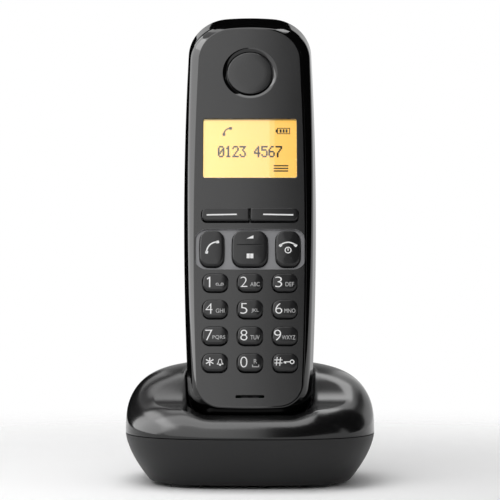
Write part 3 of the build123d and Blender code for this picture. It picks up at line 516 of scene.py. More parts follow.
def front_shell():
    parts = MeshParts()
    face_inside, cavity = long_outline(*FACE, FACE_EDGE), long_outline(*SHOULDER, SHELL_WALL)
    lines = [with_out(face_inside, 0.0), with_out(face_line, 0.0),
             with_out(shoulder_line, SHOULDER_OUT), with_out(girth_line, GIRTH_OUT)]
    rings = rounded_path(lines, BEVEL_BENDS)
    rings += [with_out(cavity, GIRTH_OUT), with_out(cavity, -FACE_WALL)]
    parts.add_rings([on_handset(*ring.T) for ring in rings], 1)
    walls = [(opening(x, y, NUMBER_KEY), 0) for x, y in number_places]
    for up, sizes, slot in ((SOFT_ROW, SOFT_OPENING, 0), (DISPLAY_UP, WINDOW, 1), (MIC_UP, MIC_SLOT, 0)):
        walls.append((rounded_rectangle(0.0, up, *sizes), slot))
    through = [wall for wall, _ in walls]
    tray = rounded_rectangle(0.0, CALL_ROW, *TRAY)
    tray_holes = [opening(x, CALL_ROW, key) for x, key in tray_places]
    top_edges = [face_inside]
    for wall, slot in walls + [(tray, 2)]:
        out = edge_normals(wall)
        deep = TRAY_DEEP if slot == 2 else FACE_WALL
        rows = [(wall + out * HOLE_EDGE, 0.0), (wall + out * HOLE_BEND, -HOLE_DROP),
                (wall, -HOLE_EDGE), (wall, -deep)]
        top_edges.append(rows[0][0])
        parts.add_rings([lay(row, height) for row, height in rows], slot)
    circles = [ring_points(0.0, EARPIECE_UP, radius, EAR_SIDES) for radius, _ in EAR_CONE]
    parts.add_rings([lay(circle, height) for circle, (_, height) in zip(circles, EAR_CONE)], 1)
    parts.add_flat(flat_fill(top_edges + [circles[0]]), 0, 0.0)
    parts.add_flat(flat_fill([tray] + tray_holes), 2, -TRAY_DEEP)
    for hole in tray_holes:
        parts.add_rings([lay(hole, height) for height in (-TRAY_DEEP, -FACE_WALL)], 2)
    parts.add_flat(flat_fill([cavity] + through + tray_holes + [circles[-1]]), 1, -FACE_WALL)
    return make_piece("front_shell_fine", parts, [face_satin, bevel_black, tray_grey], "handset",
                      ("front_shell",), sharp=28.0)


front = front_shell()
print("front shell:", len(front.data.polygons), "faces")

# %% [markdown]
# ## Keys with a soft crown
# A key is a stack of outlines: a flange that holds it under the face, a straight side, a round
# edge and a top that bulges a little. The bulge is only a tenth of a millimetre, yet without it
# a polished key reflects like a flat tile. Every key is a piece of its own, on its own body.

# %% Build the keys
KEY_PROUD, KEY_CROWN, KEY_PILLOW, KEY_LIFT = 0.9, 0.7, 0.10, 0.42
FLANGE, FLANGE_THICK, FLANGE_NEAR = 0.4, 0.7, 1.9
SOFT_KEY, SOFT_AT, SOFT_INNER_CORNER = (16.5, 4.7, 1.7, 0.0), 8.45, 0.7
SOFT_CROWN, SOFT_PILLOW = 0.45, 0.01
CROWN_STEPS, TOP_STEPS, LEAST, TOP_END = 6, 8, 0.03, 0.04


def key_outline(across, up, key, inset):
    width, height, corner, barrel = key
    corner = max(corner - inset, LEAST)
    return rounded_rectangle(across, up, width - 2 * inset, height - 2 * inset, corner, barrel)


def soft_outline(side, inset):
    """A soft key: its outer corners are rounder than those beside the split."""
    width, height, corner, barrel = SOFT_KEY
    rows = key_outline(0.0, 0.0, (width, height, SOFT_INNER_CORNER, barrel), inset)
    outer = key_outline(0.0, 0.0, SOFT_KEY, inset)
    return np.where(rows[:, :1] * side > 0, outer, rows) + (side * SOFT_AT, SOFT_ROW)


def key_parts(key, outline, flange_near=FLANGE_NEAR, crown=KEY_CROWN, pillow=KEY_PILLOW):
    """The rings of one key, from the back of its flange to the middle of its top."""
    reach = min(key[:2]) / 2 - TOP_END
    rows = [(-FLANGE, -flange_near - FLANGE_THICK), (-FLANGE, -flange_near), (0.0, -flange_near)]
    for step in range(CROWN_STEPS + 1):
        angle = math.radians(90 * step / CROWN_STEPS)
        low = KEY_PROUD - pillow - crown
        rows.append((crown * (1 - math.cos(angle)), low + crown * math.sin(angle)))
    for step in range(1, TOP_STEPS + 1):
        share = 1 - step / TOP_STEPS
        rows.append((crown + (reach - crown) * step / TOP_STEPS, KEY_PROUD - pillow * share**2))
    parts = MeshParts()
    rings = [lay(outline(inset) + (0.0, KEY_LIFT * max(out, 0.0)), out) for inset, out in rows]
    parts.add_rings(rings, closed=True)
    return parts


def plain_key(across, up, key, flange_near=FLANGE_NEAR):
    return key_parts(key, lambda inset: key_outline(across, up, key, inset), flange_near)


key_names = ("key_star", "key_0", "key_hash", "key_7", "key_8", "key_9",
             "key_4", "key_5", "key_6", "key_1", "key_2", "key_3")
SOFT_SIDES = (("left_soft_key", -1), ("right_soft_key", 1))
caps = {name: plain_key(x, y, NUMBER_KEY) for name, (x, y) in zip(key_names, number_places)}
caps["call_key"] = plain_key(-SIDE_KEY_AT, CALL_ROW, SIDE_KEY)
caps["end_key"] = plain_key(SIDE_KEY_AT, CALL_ROW, SIDE_KEY)
for name, side in SOFT_SIDES:
    caps[name] = key_parts(SOFT_KEY, lambda inset: soft_outline(side, inset),
                           crown=SOFT_CROWN, pillow=SOFT_PILLOW)
for name, parts in caps.items():
    make_piece(name + "_cap", parts, [key_black], name, (name,))
print("keys:", len(caps))

# %% [markdown]
# The rocker is one key with a groove across, so that a thumb feels its two halves. The groove is
# cut with a Boolean modifier: the cutter is a small rounded bar, and the result becomes a mesh.

# %% Cut the rocker's groove
ROCKER_FLANGE = FACE_WALL + 6.9 * math.tan(math.radians(2.5)) + 0.1
GROOVE, GROOVE_RISE, GROOVE_FROM, GROOVE_TO = (9.2, 0.5, 0.24), 1.3, 0.55, 1.4


def cut_away(parts, cutter, name):
    """The mesh of one gathered shape with another cut out of it."""
    shapes = []
    for shape in (parts, cutter):
        mesh = bpy.data.meshes.new("shape")
        mesh.from_pydata(shape.points, [], shape.faces)
        mesh.shade_smooth()
        tidy_mesh(mesh, 40.0)
        shapes.append(show("shape", mesh))
    cut = shapes[0].modifiers.new("cut", "BOOLEAN")
    cut.object = shapes[1]
    cut.solver = "EXACT"
    mesh = evaluated_mesh(shapes[0])
    for holder in shapes:
        bpy.data.objects.remove(holder)
    mesh.name = name
    mesh.shade_smooth()
    tidy_mesh(mesh, 40.0, outward=False)
    return mesh


groove = MeshParts()
bar = rounded_rectangle(0.0, CALL_ROW + GROOVE_RISE, *GROOVE)
groove.add_rings([lay(bar, height) for height in (GROOVE_FROM, GROOVE_TO)], closed=True)
rocker_mesh = cut_away(plain_key(0.0, CALL_ROW, ROCKER, ROCKER_FLANGE), groove, "navigation_key_cap")
place_piece("navigation_key_cap", rocker_mesh, [key_black], "navigation_key",
            ("navigation_key",))
print("rocker:", len(rocker_mesh.polygons), "faces")

# %% [markdown]
# ## Printed signs
# Digits and letters are text, turned into flat meshes. The signs are drawn as strokes: a line of
# points with a width. Both lie a hair above the key that carries them and ride on its body.

# %% Text and strokes
INK_UP = 0.015


def text_outline(words, width, height, thin=0.0):
    """A text as a flat mesh that fills a width and a height, centred on the origin."""
    curve = bpy.data.curves.new("words", "FONT")
    curve.body = words
    curve.resolution_u = 5
    curve.offset = -thin
    mesh = mesh_from(curve)
    rows = np.array([v.co for v in mesh.vertices])
    low, high = rows.min(axis=0), rows.max(axis=0)
    scale = np.array([width, height, 0.0]) / np.maximum(high - low, 1e-9)
    for vertex, row in zip(mesh.vertices, (rows - (low + high) / 2) * scale):
        vertex.co = row
    return mesh


def stroke(points, width):
    """The outline of a line of points drawn with a pen."""
    points = np.asarray(points, float)
    along = unit(np.gradient(points, axis=0))
    side = np.stack([-along[:, 1], along[:, 0]], axis=1) * width / 2
    return np.concatenate([points + side, (points - side)[::-1]])


def box(x, y, width, height):
    return np.array([(-1, -1), (1, -1), (1, 1), (-1, 1)]) * (width / 2, height / 2) + (x, y)


def turned(outline, degrees, centre=(0.0, 0.0)):
    a = math.radians(degrees)
    turn = np.array([[math.cos(a), math.sin(a)], [-math.sin(a), math.cos(a)]])
    return np.asarray(outline) @ turn + centre


def handset_sign(length, degrees, centre, thick):
    """A bowed handle with a round-cornered block at each end."""
    t = np.linspace(-1, 1, 21)
    half = length / 2
    handle = np.stack([t * half * 0.86, half * 0.34 * (1 - t**2)], axis=1)
    shapes = [stroke(handle, length * 0.085 * thick)]
    for side in (-1, 1):
        block = rounded_rectangle(0, 0, length * 0.19 * thick, length * 0.17 * thick, length * 0.04)
        shapes.append(turned(block, -side * 38, (side * half * 0.84, -half * 0.03)))
    return [[turned(shape, degrees, centre)] for shape in shapes]


def ring_sign(x, y, radius, width, count=40):
    return [ring_points(x, y, radius, count), ring_points(x, y, radius - width, count)]


def ink_piece(name, body, ink, signs=(), words=(), out=KEY_PROUD + INK_UP):
    """Words (text, place, width, height, thinning) and filled signs as one printed piece."""
    parts = MeshParts()
    for text, place, *sizes in words:
        parts.add_flat(text_outline(text, *sizes), 0, out, place)
    for outlines in signs:
        parts.add_flat(flat_fill(outlines), 0, out)
    return make_piece(name, parts, [ink], body, outward=False)


# %% Print the number keys
DIGIT_HIGH, LETTERS_LOW = 0.2, -0.62
LETTERS = {  # the letters, how wide they are and where they stand
    "2": ("ABC", 3.2, 1.72), "3": ("DEF", 2.95, 1.72), "4": ("GHI", 2.95, 1.72),
    "5": ("JKL", 2.5, 1.72), "6": ("MNO", 3.75, 1.72), "7": ("PQRS", 4.35, 1.35),
    "8": ("TUV", 3.15, 1.72), "9": ("WXYZ", 4.6, 1.2),
}
ONE = np.array([(0.4, -1.9), (0.4, 1.9), (0.1, 1.9), (-0.75, 1.25), (-0.75, 0.8), (-0.05, 1.3),
                (-0.05, -1.9)])
for name, (x, y) in zip(key_names, number_places):
    sign = name[4:]
    if sign == "1":
        ink_piece("key_1_digit", name, white_ink, [[ONE + (x - 2.1, y + DIGIT_HIGH)]])
    elif sign.isdigit():
        place = (x - (2.55 if sign == "9" else 2.1), y + DIGIT_HIGH)
        ink_piece(name + "_digit", name, white_ink, words=[(sign, place, 2.4, 3.8, 0.016)])
    if sign in LETTERS:
        letters, width, at = LETTERS[sign]
        place = (x + at, y + LETTERS_LOW)
        ink_piece(name + "_letters", name, grey_ink, words=[(letters, place, width, 1.5)])
print("letters on", len(LETTERS), "keys")

# %% Print the signs on the number keys
key_place = dict(zip(key_names, number_places))
x, y = key_place["key_1"]
mailbox = [ring_sign(x + 1.53 + s * 0.85, y + LETTERS_LOW, 0.5, 0.22, 28) for s in (-1, 1)]
ink_piece("key_1_mailbox", "key_1", grey_ink, mailbox + [[box(x + 1.53, y - 1.02, 1.8, 0.2)]])

x, y = key_place["key_star"]
spokes = [[turned(box(0.0, 0.0, 0.36, 2.9), turn, (x - 1.73, y + 0.35))] for turn in (0, 60, 120)]
ink_piece("key_star_sign", "key_star", white_ink, spokes)
bell_side = np.array([(0.0, 1.1), (0.35, 0.95), (0.55, 0.5), (0.62, -0.2), (1.05, -0.7)])
bell_line = np.concatenate([(bell_side * (-1, 1))[::-1], bell_side[1:]])
bell_at = np.array((x + 1.8, y + 0.15))
ink_piece("key_star_bell", "key_star", white_ink, [
    [stroke(bell_line + bell_at, 0.22)], [box(*(bell_at + (0, -0.72)), 2.2, 0.22)],
    [ring_points(*(bell_at + (0, -1.05)), 0.3, 20)]])

x, y = key_place["key_0"]
space = [[box(x + 1.92, y - 1.5, 2.4, 0.28)]]
space += [[box(x + at, y - 1.15, 0.28, 0.8)] for at in (0.86, 2.98)]
ink_piece("key_0_space", "key_0", grey_ink, space, [("R", (x + 1.85, y + 0.45), 1.1, 1.5)])

x, y = key_place["key_hash"]
bars = [turned(box(s * 0.58, 0.0, 0.28, 3.0), -6) for s in (-1, 1)]
bars += [box(0.0, s * 0.55, 2.7, 0.28) for s in (-1, 1)]
ink_piece("key_hash_sign", "key_hash", white_ink, [[bar + (x - 2.3, y + 0.4)] for bar in bars])
ink_piece("key_hash_lock", "key_hash", white_ink, [
    ring_sign(x + 2.35, y + 0.26, 0.8, 0.32), [box(x + 0.6, y + 0.26, 2.0, 0.32)],
    [box(x + 0.05, y - 0.08, 0.55, 0.5)], [box(x - 0.4, y + 0.1, 0.3, 0.3)]])
print("signs on key_1, key_star, key_0 and key_hash")

# %% Print the call row and the soft keys
call_sign = handset_sign(6.3, 45, (-SIDE_KEY_AT, CALL_ROW + 0.5), 0.9)
ink_piece("call_key_sign", "call_key", white_ink, call_sign)
end_sign = handset_sign(6.2, 0, (SIDE_KEY_AT, CALL_ROW + 1.15), 0.9)
end_sign.append(ring_sign(SIDE_KEY_AT, CALL_ROW - 0.67, 1.2, 0.34))
end_sign.append([box(SIDE_KEY_AT, CALL_ROW - 0.45, 0.34, 0.9)])
ink_piece("end_key_sign", "end_key", white_ink, end_sign)
wedge = np.array([(-1.2, -0.6), (1.2, -0.6), (1.2, 0.6)]) + (0.0, CALL_ROW + 4.2)
book = [[box(s * 0.62, CALL_ROW - 2.8, 1.08, 1.75)] for s in (-1, 1)]
ink_piece("navigation_key_sign", "navigation_key", white_ink, [[wedge]] + book)
for name, side in SOFT_SIDES:
    dash = turned(box(0.0, 0.0, 10.5, 0.5), -side * 1.1, (side * 9.85, SOFT_ROW + 0.05))
    ink_piece(name + "_dash", name, white_ink, [[dash]])
print("printed signs on", len(caps) + 1, "keys")

# %% [markdown]
# ## The display
# Behind a clear window lies a liquid crystal panel with an amber light behind it. It shines, so
# its material emits light. Its digits are dark pixels. Pixels repeat, so a Geometry Nodes tree
# puts one small tile on each point of a dot pattern.

# %% A tree that lays a tile on every point
def new_tree(name, inputs):
    """An empty Geometry Nodes tree with a geometry in and out and the given named inputs."""
    tree = bpy.data.node_groups.new(name, "GeometryNodeTree")
    tree.interface.new_socket("Geometry", in_out="INPUT", socket_type="NodeSocketGeometry")
    for label, kind in inputs:
        tree.interface.new_socket(label, in_out="INPUT", socket_type="NodeSocket" + kind)
    tree.interface.new_socket("Geometry", in_out="OUTPUT", socket_type="NodeSocketGeometry")
    return tree, add_node(tree, "NodeGroupInput").outputs


def finish_tree(tree, start, shape, turn=None):
    """Puts a shape on every point, makes it real and gives it the material."""
    spread = add_node(tree, "GeometryNodeInstanceOnPoints", {
        "Points": start["Geometry"], "Instance": shape})
    if turn:
        set_inputs(tree, spread, {"Rotation": start[turn]})
    real = add_node(tree, "GeometryNodeRealizeInstances", {"Geometry": spread})
    paint = add_node(tree, "GeometryNodeSetMaterial", {
        "Geometry": real, "Material": start["Material"]})
    add_node(tree, "NodeGroupOutput", {"Geometry": paint})


def grow(tree, points, values, name):
    """Runs a tree on points with the given input values and returns the mesh that it makes."""
    mesh = bpy.data.meshes.new(name)
    mesh.from_pydata([tuple(p) for p in points], [], [])
    holder = show(name, mesh)
    modifier = holder.modifiers.new(name, "NODES")
    modifier.node_group = tree
    for item in tree.interface.items_tree:
        if item.in_out == "INPUT" and item.name in values:
            modifier[item.identifier] = values[item.name]
    holder.update_tag()
    made = evaluated_mesh(holder)
    bpy.data.objects.remove(holder)
    made.name = name
    return made


tile_tree, start = new_tree("pixel_tiles", [
    ("Width", "Float"), ("Height", "Float"), ("Turn", "Rotation"), ("Material", "Material")])
tile = add_node(tile_tree, "GeometryNodeMeshGrid", {
    "Vertices X": 2, "Vertices Y": 2, "Size X": start["Width"], "Size Y": start["Height"]})
finish_tree(tile_tree, start, tile, "Turn")
print("tree:", tile_tree.name)

# %% Digits made of pixels
DIGIT_DOTS = {
    "0": "01110 10001 10011 10101 11001 10001 01110", "1": "00100 01100 00100 00100 00100 00100 01110",
    "2": "01110 10001 00001 00010 00100 01000 11111", "3": "11111 00010 00100 00010 00001 10001 01110",
    "4": "00010 00110 01010 10010 11111 00010 00010", "5": "11111 10000 11110 00001 00001 10001 01110",
    "6": "00110 01000 10000 11110 10001 10001 01110", "7": "11111 00001 00010 00100 01000 01000 01000",
}
PIXEL_WIDE, PIXEL_HIGH, LCD_OUT = 0.425, 0.62, -1.75
LINE_SHOWN = "0123 4567"
dots = []
for column, sign in enumerate(LINE_SHOWN):
    for row, line in enumerate(DIGIT_DOTS.get(sign, "").split()):
        for step, dot in enumerate(line):
            if dot == "1":
                across = (column * 6 + step - (len(LINE_SHOWN) * 6 - 2) / 2) * PIXEL_WIDE
                dots.append(on_handset(across, DISPLAY_UP - 0.75 + (3 - row) * PIXEL_HIGH, LCD_OUT))
pixels = grow(tile_tree, dots, {
    "Width": PIXEL_WIDE * 1.5e-3, "Height": PIXEL_HIGH * 1.04e-3,
    "Turn": (math.pi / 2 - LEAN, 0.0, 0.0), "Material": lcd_ink}, "lcd_pixels")
place_piece("lcd_pixels", pixels, [lcd_ink], "handset")
print("pixels:", len(dots))

# %% Signs on the display
battery_up, bars_up = DISPLAY_UP + 7.1, DISPLAY_UP - 7.1
battery = [[box(11.9, battery_up, 4.6, 2.4), box(11.9, battery_up, 4.0, 1.8)],
           [box(9.35, battery_up, 0.5, 1.2)]]
battery += [[box(at, battery_up, 0.7, 1.3)] for at in (11.9, 12.95, 10.85)]
menu_bars = [[box(10.9, bars_up + s * 1.0, 5.2, 0.5)] for s in (-1, 0, 1)]
lcd_signs = handset_sign(3.9, 45, (-8.1, DISPLAY_UP + 7.0), 1.5) + battery + menu_bars
ink_piece("lcd_signs", "handset", lcd_ink, lcd_signs, out=LCD_OUT)
print("display signs:", len(lcd_signs), "shapes")

# %% The glowing panel and its window
HALF_WINDOW = WINDOW[0] / 2000


def glowing_panel():
    """Amber light that is deeper towards the right, with the group's mottle in it."""
    material, tree, shader = new_material("amber_lcd")
    across = ramp(tree, object_place(tree, "X"), (-HALF_WINDOW, HALF_WINDOW))
    glow = add_node(tree, "ShaderNodeValToRGB", {"Fac": across})
    glow.color_ramp.elements[0].color = (1.0, 0.76, 0.22, 1.0)
    glow.color_ramp.elements[1].color = (1.0, 0.55, 0.10, 1.0)
    mottle = grain_node(tree, 2500.0, 40.0)["Mottle"]
    share = add_node(tree, "ShaderNodeMath", {0: mottle, 1: 0.3}, operation="MULTIPLY")
    warm = add_node(tree, "ShaderNodeMix", {
        "Factor": share, "A": glow, "B": (1.0, 0.6, 0.12, 1.0)},
        data_type="RGBA")
    set_inputs(tree, shader, {
        "Base Color": (0.25, 0.16, 0.04, 1.0), "Roughness": 0.35,
        "Emission Color": warm, "Emission Strength": 1.0})
    return material


def clear_plastic():
    material, tree, shader = new_material("clear_window")
    worn = ramp(tree, grain_node(tree, 300.0, 45.0)["Smear"], result=(0.0, 0.008))
    set_inputs(tree, shader, {
        "Base Color": (0.97, 0.97, 0.97, 1.0), "Roughness": worn,
        "IOR": 1.49, "Transmission Weight": 1.0})
    return material


def slab(name, width, height, corner, near, far, edge, material, node):
    """A plate behind the face with softened edges."""
    parts = MeshParts()
    rows = [(edge, -far), (0.0, -far + edge), (0.0, -near - edge),
            (edge * 0.3, -near - edge * 0.3), (edge, -near)]
    parts.add_rings([lay(rounded_rectangle(
        0.0, DISPLAY_UP, width - 2 * inset, height - 2 * inset, corner), out) for inset, out in rows],
        closed=True)
    return make_piece(name, parts, [material], "handset", (node,), sharp=25.0)


slab("lcd_glass", 35.8, 25.2, 0.3, 1.8, 3.4, 0.05, glowing_panel(), "lcd_panel")
slab("window_plate", 32.9, 22.3, 0.75, 0.1, 0.7, 0.06, clear_plastic(),
     "display_window")
print("display: a glowing panel and its window")

# %% [markdown]
# ## The earpiece cap
# The cap is a turned disc in the throat of the sound ring. A turned piece is a profile that goes
# round an axis, so its rings are circles. Sound comes out of the narrow gap beside it.

# %% Turn the cap
CAP_PROFILE = [(10.6, -2.6), (10.6, -1.8), (8.05, -1.8), (8.05, -0.5), (8.0, -0.33), (7.9, -0.23),
               (7.75, -0.17), (7.5, -0.15), (5.0, -0.15), (2.5, -0.15)]
cap = MeshParts()
cap_rings = [lay(ring_points(0.0, EARPIECE_UP, radius, EAR_SIDES), out) for radius, out in CAP_PROFILE]
cap.add_rings(cap_rings, closed=True)
make_piece("earpiece_disc", cap, [face_satin], "handset", ("earpiece_cap",), sharp=35.0)
print("cap rings:", len(cap_rings))

# %% [markdown]
# ## The base's cover, from a distance function
# The cover is a squared dome. A saddle is cut out of it: a low lip in front, which rises a little
# beside the handset, and a slope behind that the handset leans towards. The cradle is sunk through
# both. Written as signed distances, a round edge is one short formula, so the whole cover is one
# function. Rays shot from inside the wall find its surface, and neighbouring hits make a grid.

# %% The cover as a distance
DOME_SIZE, DOME_LOW, POWER = (43.05, 37.0, 25.2), 17.65, 2.9
LIP_PLACE, LIP_TILT, LIP_RISE, CREASE = (-24.3, 24.6), math.radians(8.0), 2.4, 4.0
SLOPE_CENTRE, SLOPE_RADIUS = (34.3, -31.35), 76.5
RIM, RIM_MORE, FRONT_DEEP = 5.0, 2.4, 24.0
BESIDE_FROM, BESIDE_RUN = 14.0, 10.0
ROUND_POWER, BEVEL_SHARE = 2.0, 0.6


def dome_distance(p):
    scaled = np.abs(p - (0.0, 0.0, DOME_LOW)) / DOME_SIZE
    total = np.maximum((scaled**POWER).sum(axis=-1), 1e-9)
    size = total ** (1 / POWER)
    slope = (scaled ** (POWER - 1)) / DOME_SIZE
    steep = np.linalg.norm(slope, axis=-1) * total ** (1 / POWER - 1)
    return (size - 1) / np.maximum(steep, 1e-6)


def beside_handset(p):
    """0 in front of the handset and 1 beside it."""
    share = np.clip((np.abs(p[..., 0]) - BESIDE_FROM) / BESIDE_RUN, 0.0, 1.0)
    return share * share * (3 - 2 * share)


def saddle_distance(p):
    """Below the lip or below the backrest slope, which bulges a little, with a soft crease."""
    flat = p[..., 1:]
    lip = (flat - LIP_PLACE) @ (-math.sin(LIP_TILT), math.cos(LIP_TILT)) - LIP_RISE * beside_handset(p)
    slope = np.linalg.norm(flat - SLOPE_CENTRE, axis=-1) - SLOPE_RADIUS
    near = np.maximum(CREASE - np.abs(lip - slope), 0.0) / CREASE
    return np.minimum(lip, slope) - near**2 * CREASE / 4


def round_both(a, b, radius, power):
    """Inside both, with an edge that is round for a power of 2 and a bevel for a power of 1."""
    u, v = np.maximum(radius + a, 0), np.maximum(radius + b, 0)
    return np.minimum(-radius, np.maximum(a, b)) + (u**power + v**power) ** (1 / power)


def body_distance(p):
    front = np.clip(-p[..., 1] / FRONT_DEEP, 0.0, 1.0)
    rim = RIM + RIM_MORE * front * beside_handset(p)
    return round_both(dome_distance(p), saddle_distance(p), rim, ROUND_POWER - BEVEL_SHARE * front)


# %% [markdown]
# The cradle's mouth is a clean round edge. Its rings follow the cradle's outline: each point of
# a ring has the centre of a small circle that touches the wall on one side and the saddle on the
# other. From the mouth outwards, rays shot from inside the wall find the rest of the surface.

# %% The mouth of the cradle and the dome round it
MOUTH_ROUND, CRADLE_HALF, CRADLE_DEEP, CRADLE_FLOOR = 0.6, 23.25, 25.0, -0.3
CRADLE_GAP, CRADLE_WALL, TAPER, TAPER_END = 0.5, 1.6, 2.5, 76.0
CRADLE_STEPS, CRADLE_RUNS, FAN, HALVINGS = 14, 22, 84, 46
FRONT_CORNER, BACK_CORNER, UNDER_EDGE = 6.0, 7.0, 2.0
MOUTH_LOW, MOUTH_HIGH, DOME_REACH, RAY_REACH = -1.2, 45.0, 80.0, 60.0
RAY_MIDDLE = np.array([0.0, -6.0])


def cradle_outline(grown):
    """The cradle across and behind the face, counter-clockwise, grown by a gap or a wall."""
    rows = []
    for turn, (sx, sy) in enumerate(((1, -1), (1, 1), (-1, 1), (-1, -1))):
        corner = (FRONT_CORNER if sy < 0 else BACK_CORNER) + grown
        half_deep = (CRADLE_DEEP + 2 * grown) / 2
        middle = np.array([sx * (CRADLE_HALF + grown - corner), sy * (half_deep - corner)])
        angles = np.radians(-90 + 90 * turn + 90 * np.arange(CRADLE_STEPS + 1) / CRADLE_STEPS)
        rows.append(middle + corner * np.stack([np.cos(angles), np.sin(angles)], axis=1))
    points = []
    for here, after in zip(rows, rows[1:] + rows[:1]):
        points.extend(here)
        ahead = after[0] - here[-1]
        points.extend(here[-1] + ahead * run / CRADLE_RUNS for run in range(1, CRADLE_RUNS))
    return np.array(points) + (0.0, CRADLE_DEEP / 2)


def in_cradle(rows, up):
    """An outline of the cradle at a height along the handset, narrowed as the handset tapers."""
    half = CRADLE_HALF + CRADLE_GAP
    narrow = (half - TAPER * ((TAPER_END - up) / TAPER_END) ** 2) / half
    return on_handset(rows[:, 0] * narrow, up, -rows[:, 1]) * 1000.0


def last_inside(test, start, end, count):
    """For each of many lines, the last place along it where a test still holds."""
    low, high = np.full(count, start), np.full(count, end)
    for _ in range(HALVINGS):
        half = (low + high) / 2
        inside = test(half)
        low, high = np.where(inside, half, low), np.where(inside, high, half)
    return low


def mouth_rings(line):
    """Rings from the middle of the cradle's floor up its wall and over its round mouth."""
    out = edge_normals(line)
    behind = np.array([0.0, math.cos(LEAN), -math.sin(LEAN)])
    wall_out = np.column_stack([out[:, 0], np.outer(out[:, 1], behind)[:, 1:]])
    centre_line = line + out * MOUTH_ROUND
    rise = last_inside(lambda up: body_distance(in_cradle(centre_line, up)) < -MOUTH_ROUND,
                       MOUTH_LOW, MOUTH_HIGH, len(line))
    centre = in_cradle(centre_line, rise)
    steep = [body_distance(centre + move) - body_distance(centre - move) for move in np.eye(3) * 0.01]
    lean_out = unit(np.stack(steep, axis=1))
    floor = in_cradle(line, CRADLE_FLOOR)
    touching = centre - wall_out * MOUTH_ROUND
    heart = floor.mean(axis=0)
    rings = [heart + (floor - heart) * share for share in (0.25, 0.5, 0.75, 0.97)]
    rings += [floor + (touching - floor) * share for share in (0.0, 0.33, 0.66)]
    for share in np.linspace(0, 1, 8):
        rings.append(centre + unit(lean_out * share - wall_out * (1 - share)) * MOUTH_ROUND)
    return rings


def base_cover():
    rings = mouth_rings(cradle_outline(CRADLE_GAP))
    brim = rings[-1]
    count = len(brim)
    heading = unit(brim[:, :2] - RAY_MIDDLE)
    near = np.linalg.norm(brim[:, :2] - RAY_MIDDLE, axis=1)

    def plan(reach, height):
        flat = RAY_MIDDLE + heading * reach[:, None]
        return np.column_stack([flat, np.broadcast_to(height, reach.shape)])

    far = last_inside(lambda reach: dome_distance(plan(reach, DOME_LOW)) < 0, 0.0, DOME_REACH, count)
    stand = (near + far) / 2
    root = plan(stand, DOME_LOW + 1.0)
    first = np.arctan2(brim[:, 2] - root[:, 2], near - stand)
    last = np.arctan2(np.full(count, -1.0), far - stand)
    for index in range(1, FAN):
        swing = first + (last - first) * index / FAN
        ray = np.column_stack([heading * np.cos(swing)[:, None], np.sin(swing)])
        reach = last_inside(lambda d: body_distance(root + ray * d[:, None]) < 0, 0.0, RAY_REACH, count)
        rings.append(root + ray * reach[:, None])
    under = in_cradle(cradle_outline(CRADLE_GAP + CRADLE_WALL), CRADLE_FLOOR - CRADLE_WALL)
    rings += [plan(far, DOME_LOW), plan(far - UNDER_EDGE, DOME_LOW), under]
    parts = MeshParts()
    parts.add_rings([ring / 1000.0 for ring in rings], closed=True)
    return make_piece("base_cover_fine", parts, [gloss_black], "base",
                      ("base_top_cover",), sharp=50.0)


cover = base_cover()
print("base cover:", len(cover.data.polygons), "faces")

# %% [markdown]
# ## Feet and screws
# Four feet and six screws repeat, so trees make them. A foot is turned inside its tree: a short
# line gets a radius that changes along it, and a circle is swept over the line. A screw head is
# turned the same way, and a cross is cut into it.

# %% Trees for turned feet and for screws
FOOT_PROFILE = [(0.0, 0.9), (1.0, 1.0), (0.08, 0.96), (0.25, 1.0)]
SCREW_PROFILE = [(0.0, 0.5), (1.0, 0.72), (0.64, 0.5), (0.65, 1.0), (0.85, 0.97), (0.96, 0.85)]


def turned_shape(tree, start, profile, sides):
    """A line along Z swept with a circle, its radius led by a curve of its length."""
    top = add_node(tree, "ShaderNodeCombineXYZ", {"Z": start["Height"]})
    line = add_node(tree, "GeometryNodeCurvePrimitiveLine", {"End": top})
    fine = add_node(tree, "GeometryNodeResampleCurve", {"Curve": line, "Count": 26})
    along = add_node(tree, "GeometryNodeSplineParameter")
    lead = add_node(tree, "ShaderNodeFloatCurve", {"Value": along.outputs["Factor"]})
    points = lead.mapping.curves[0].points
    for index, (at, share) in enumerate(profile):
        point = points[index] if index < 2 else points.new(at, share)
        point.location = (at, share)
        point.handle_type = "VECTOR"
    lead.mapping.update()
    thick = add_node(tree, "GeometryNodeSetCurveRadius", {
        "Curve": fine, "Radius": lead})
    ring = add_node(tree, "GeometryNodeCurvePrimitiveCircle", {
        "Resolution": sides, "Radius": start["Radius"]})
    sweep = add_node(tree, "GeometryNodeCurveToMesh", {
        "Curve": thick, "Profile Curve": ring, "Fill Caps": True})
    return sweep


foot_tree, start = new_tree("turned_feet", [
    ("Radius", "Float"), ("Height", "Float"), ("Material", "Material")])
finish_tree(foot_tree, start, turned_shape(foot_tree, start, FOOT_PROFILE, 48))

screw_tree, start = new_tree("screws", [
    ("Radius", "Float"), ("Height", "Float"), ("Cross", "Float"), ("Turn", "Rotation"),
    ("Material", "Material")])
head = turned_shape(screw_tree, start, SCREW_PROFILE, 36)
thin = add_node(screw_tree, "ShaderNodeMath", {0: start["Cross"], 1: 0.25}, operation="MULTIPLY")
size = add_node(screw_tree, "ShaderNodeCombineXYZ", {
    "X": start["Cross"], "Y": thin, "Z": start["Radius"]})
blade = add_node(screw_tree, "GeometryNodeMeshCube", {"Size": size})
lift = add_node(screw_tree, "ShaderNodeCombineXYZ", {"Z": start["Height"]})
both = add_node(screw_tree, "GeometryNodeJoinGeometry")
for turn in (0.0, math.pi / 2):
    move = add_node(screw_tree, "GeometryNodeTransform", {
        "Geometry": blade, "Translation": lift,
        "Rotation": (0.0, 0.0, turn)})
    set_inputs(screw_tree, both, {"Geometry": move})
cut = add_node(screw_tree, "GeometryNodeMeshBoolean", {0: head, 1: both},
               operation="DIFFERENCE")
finish_tree(screw_tree, start, cut, "Turn")
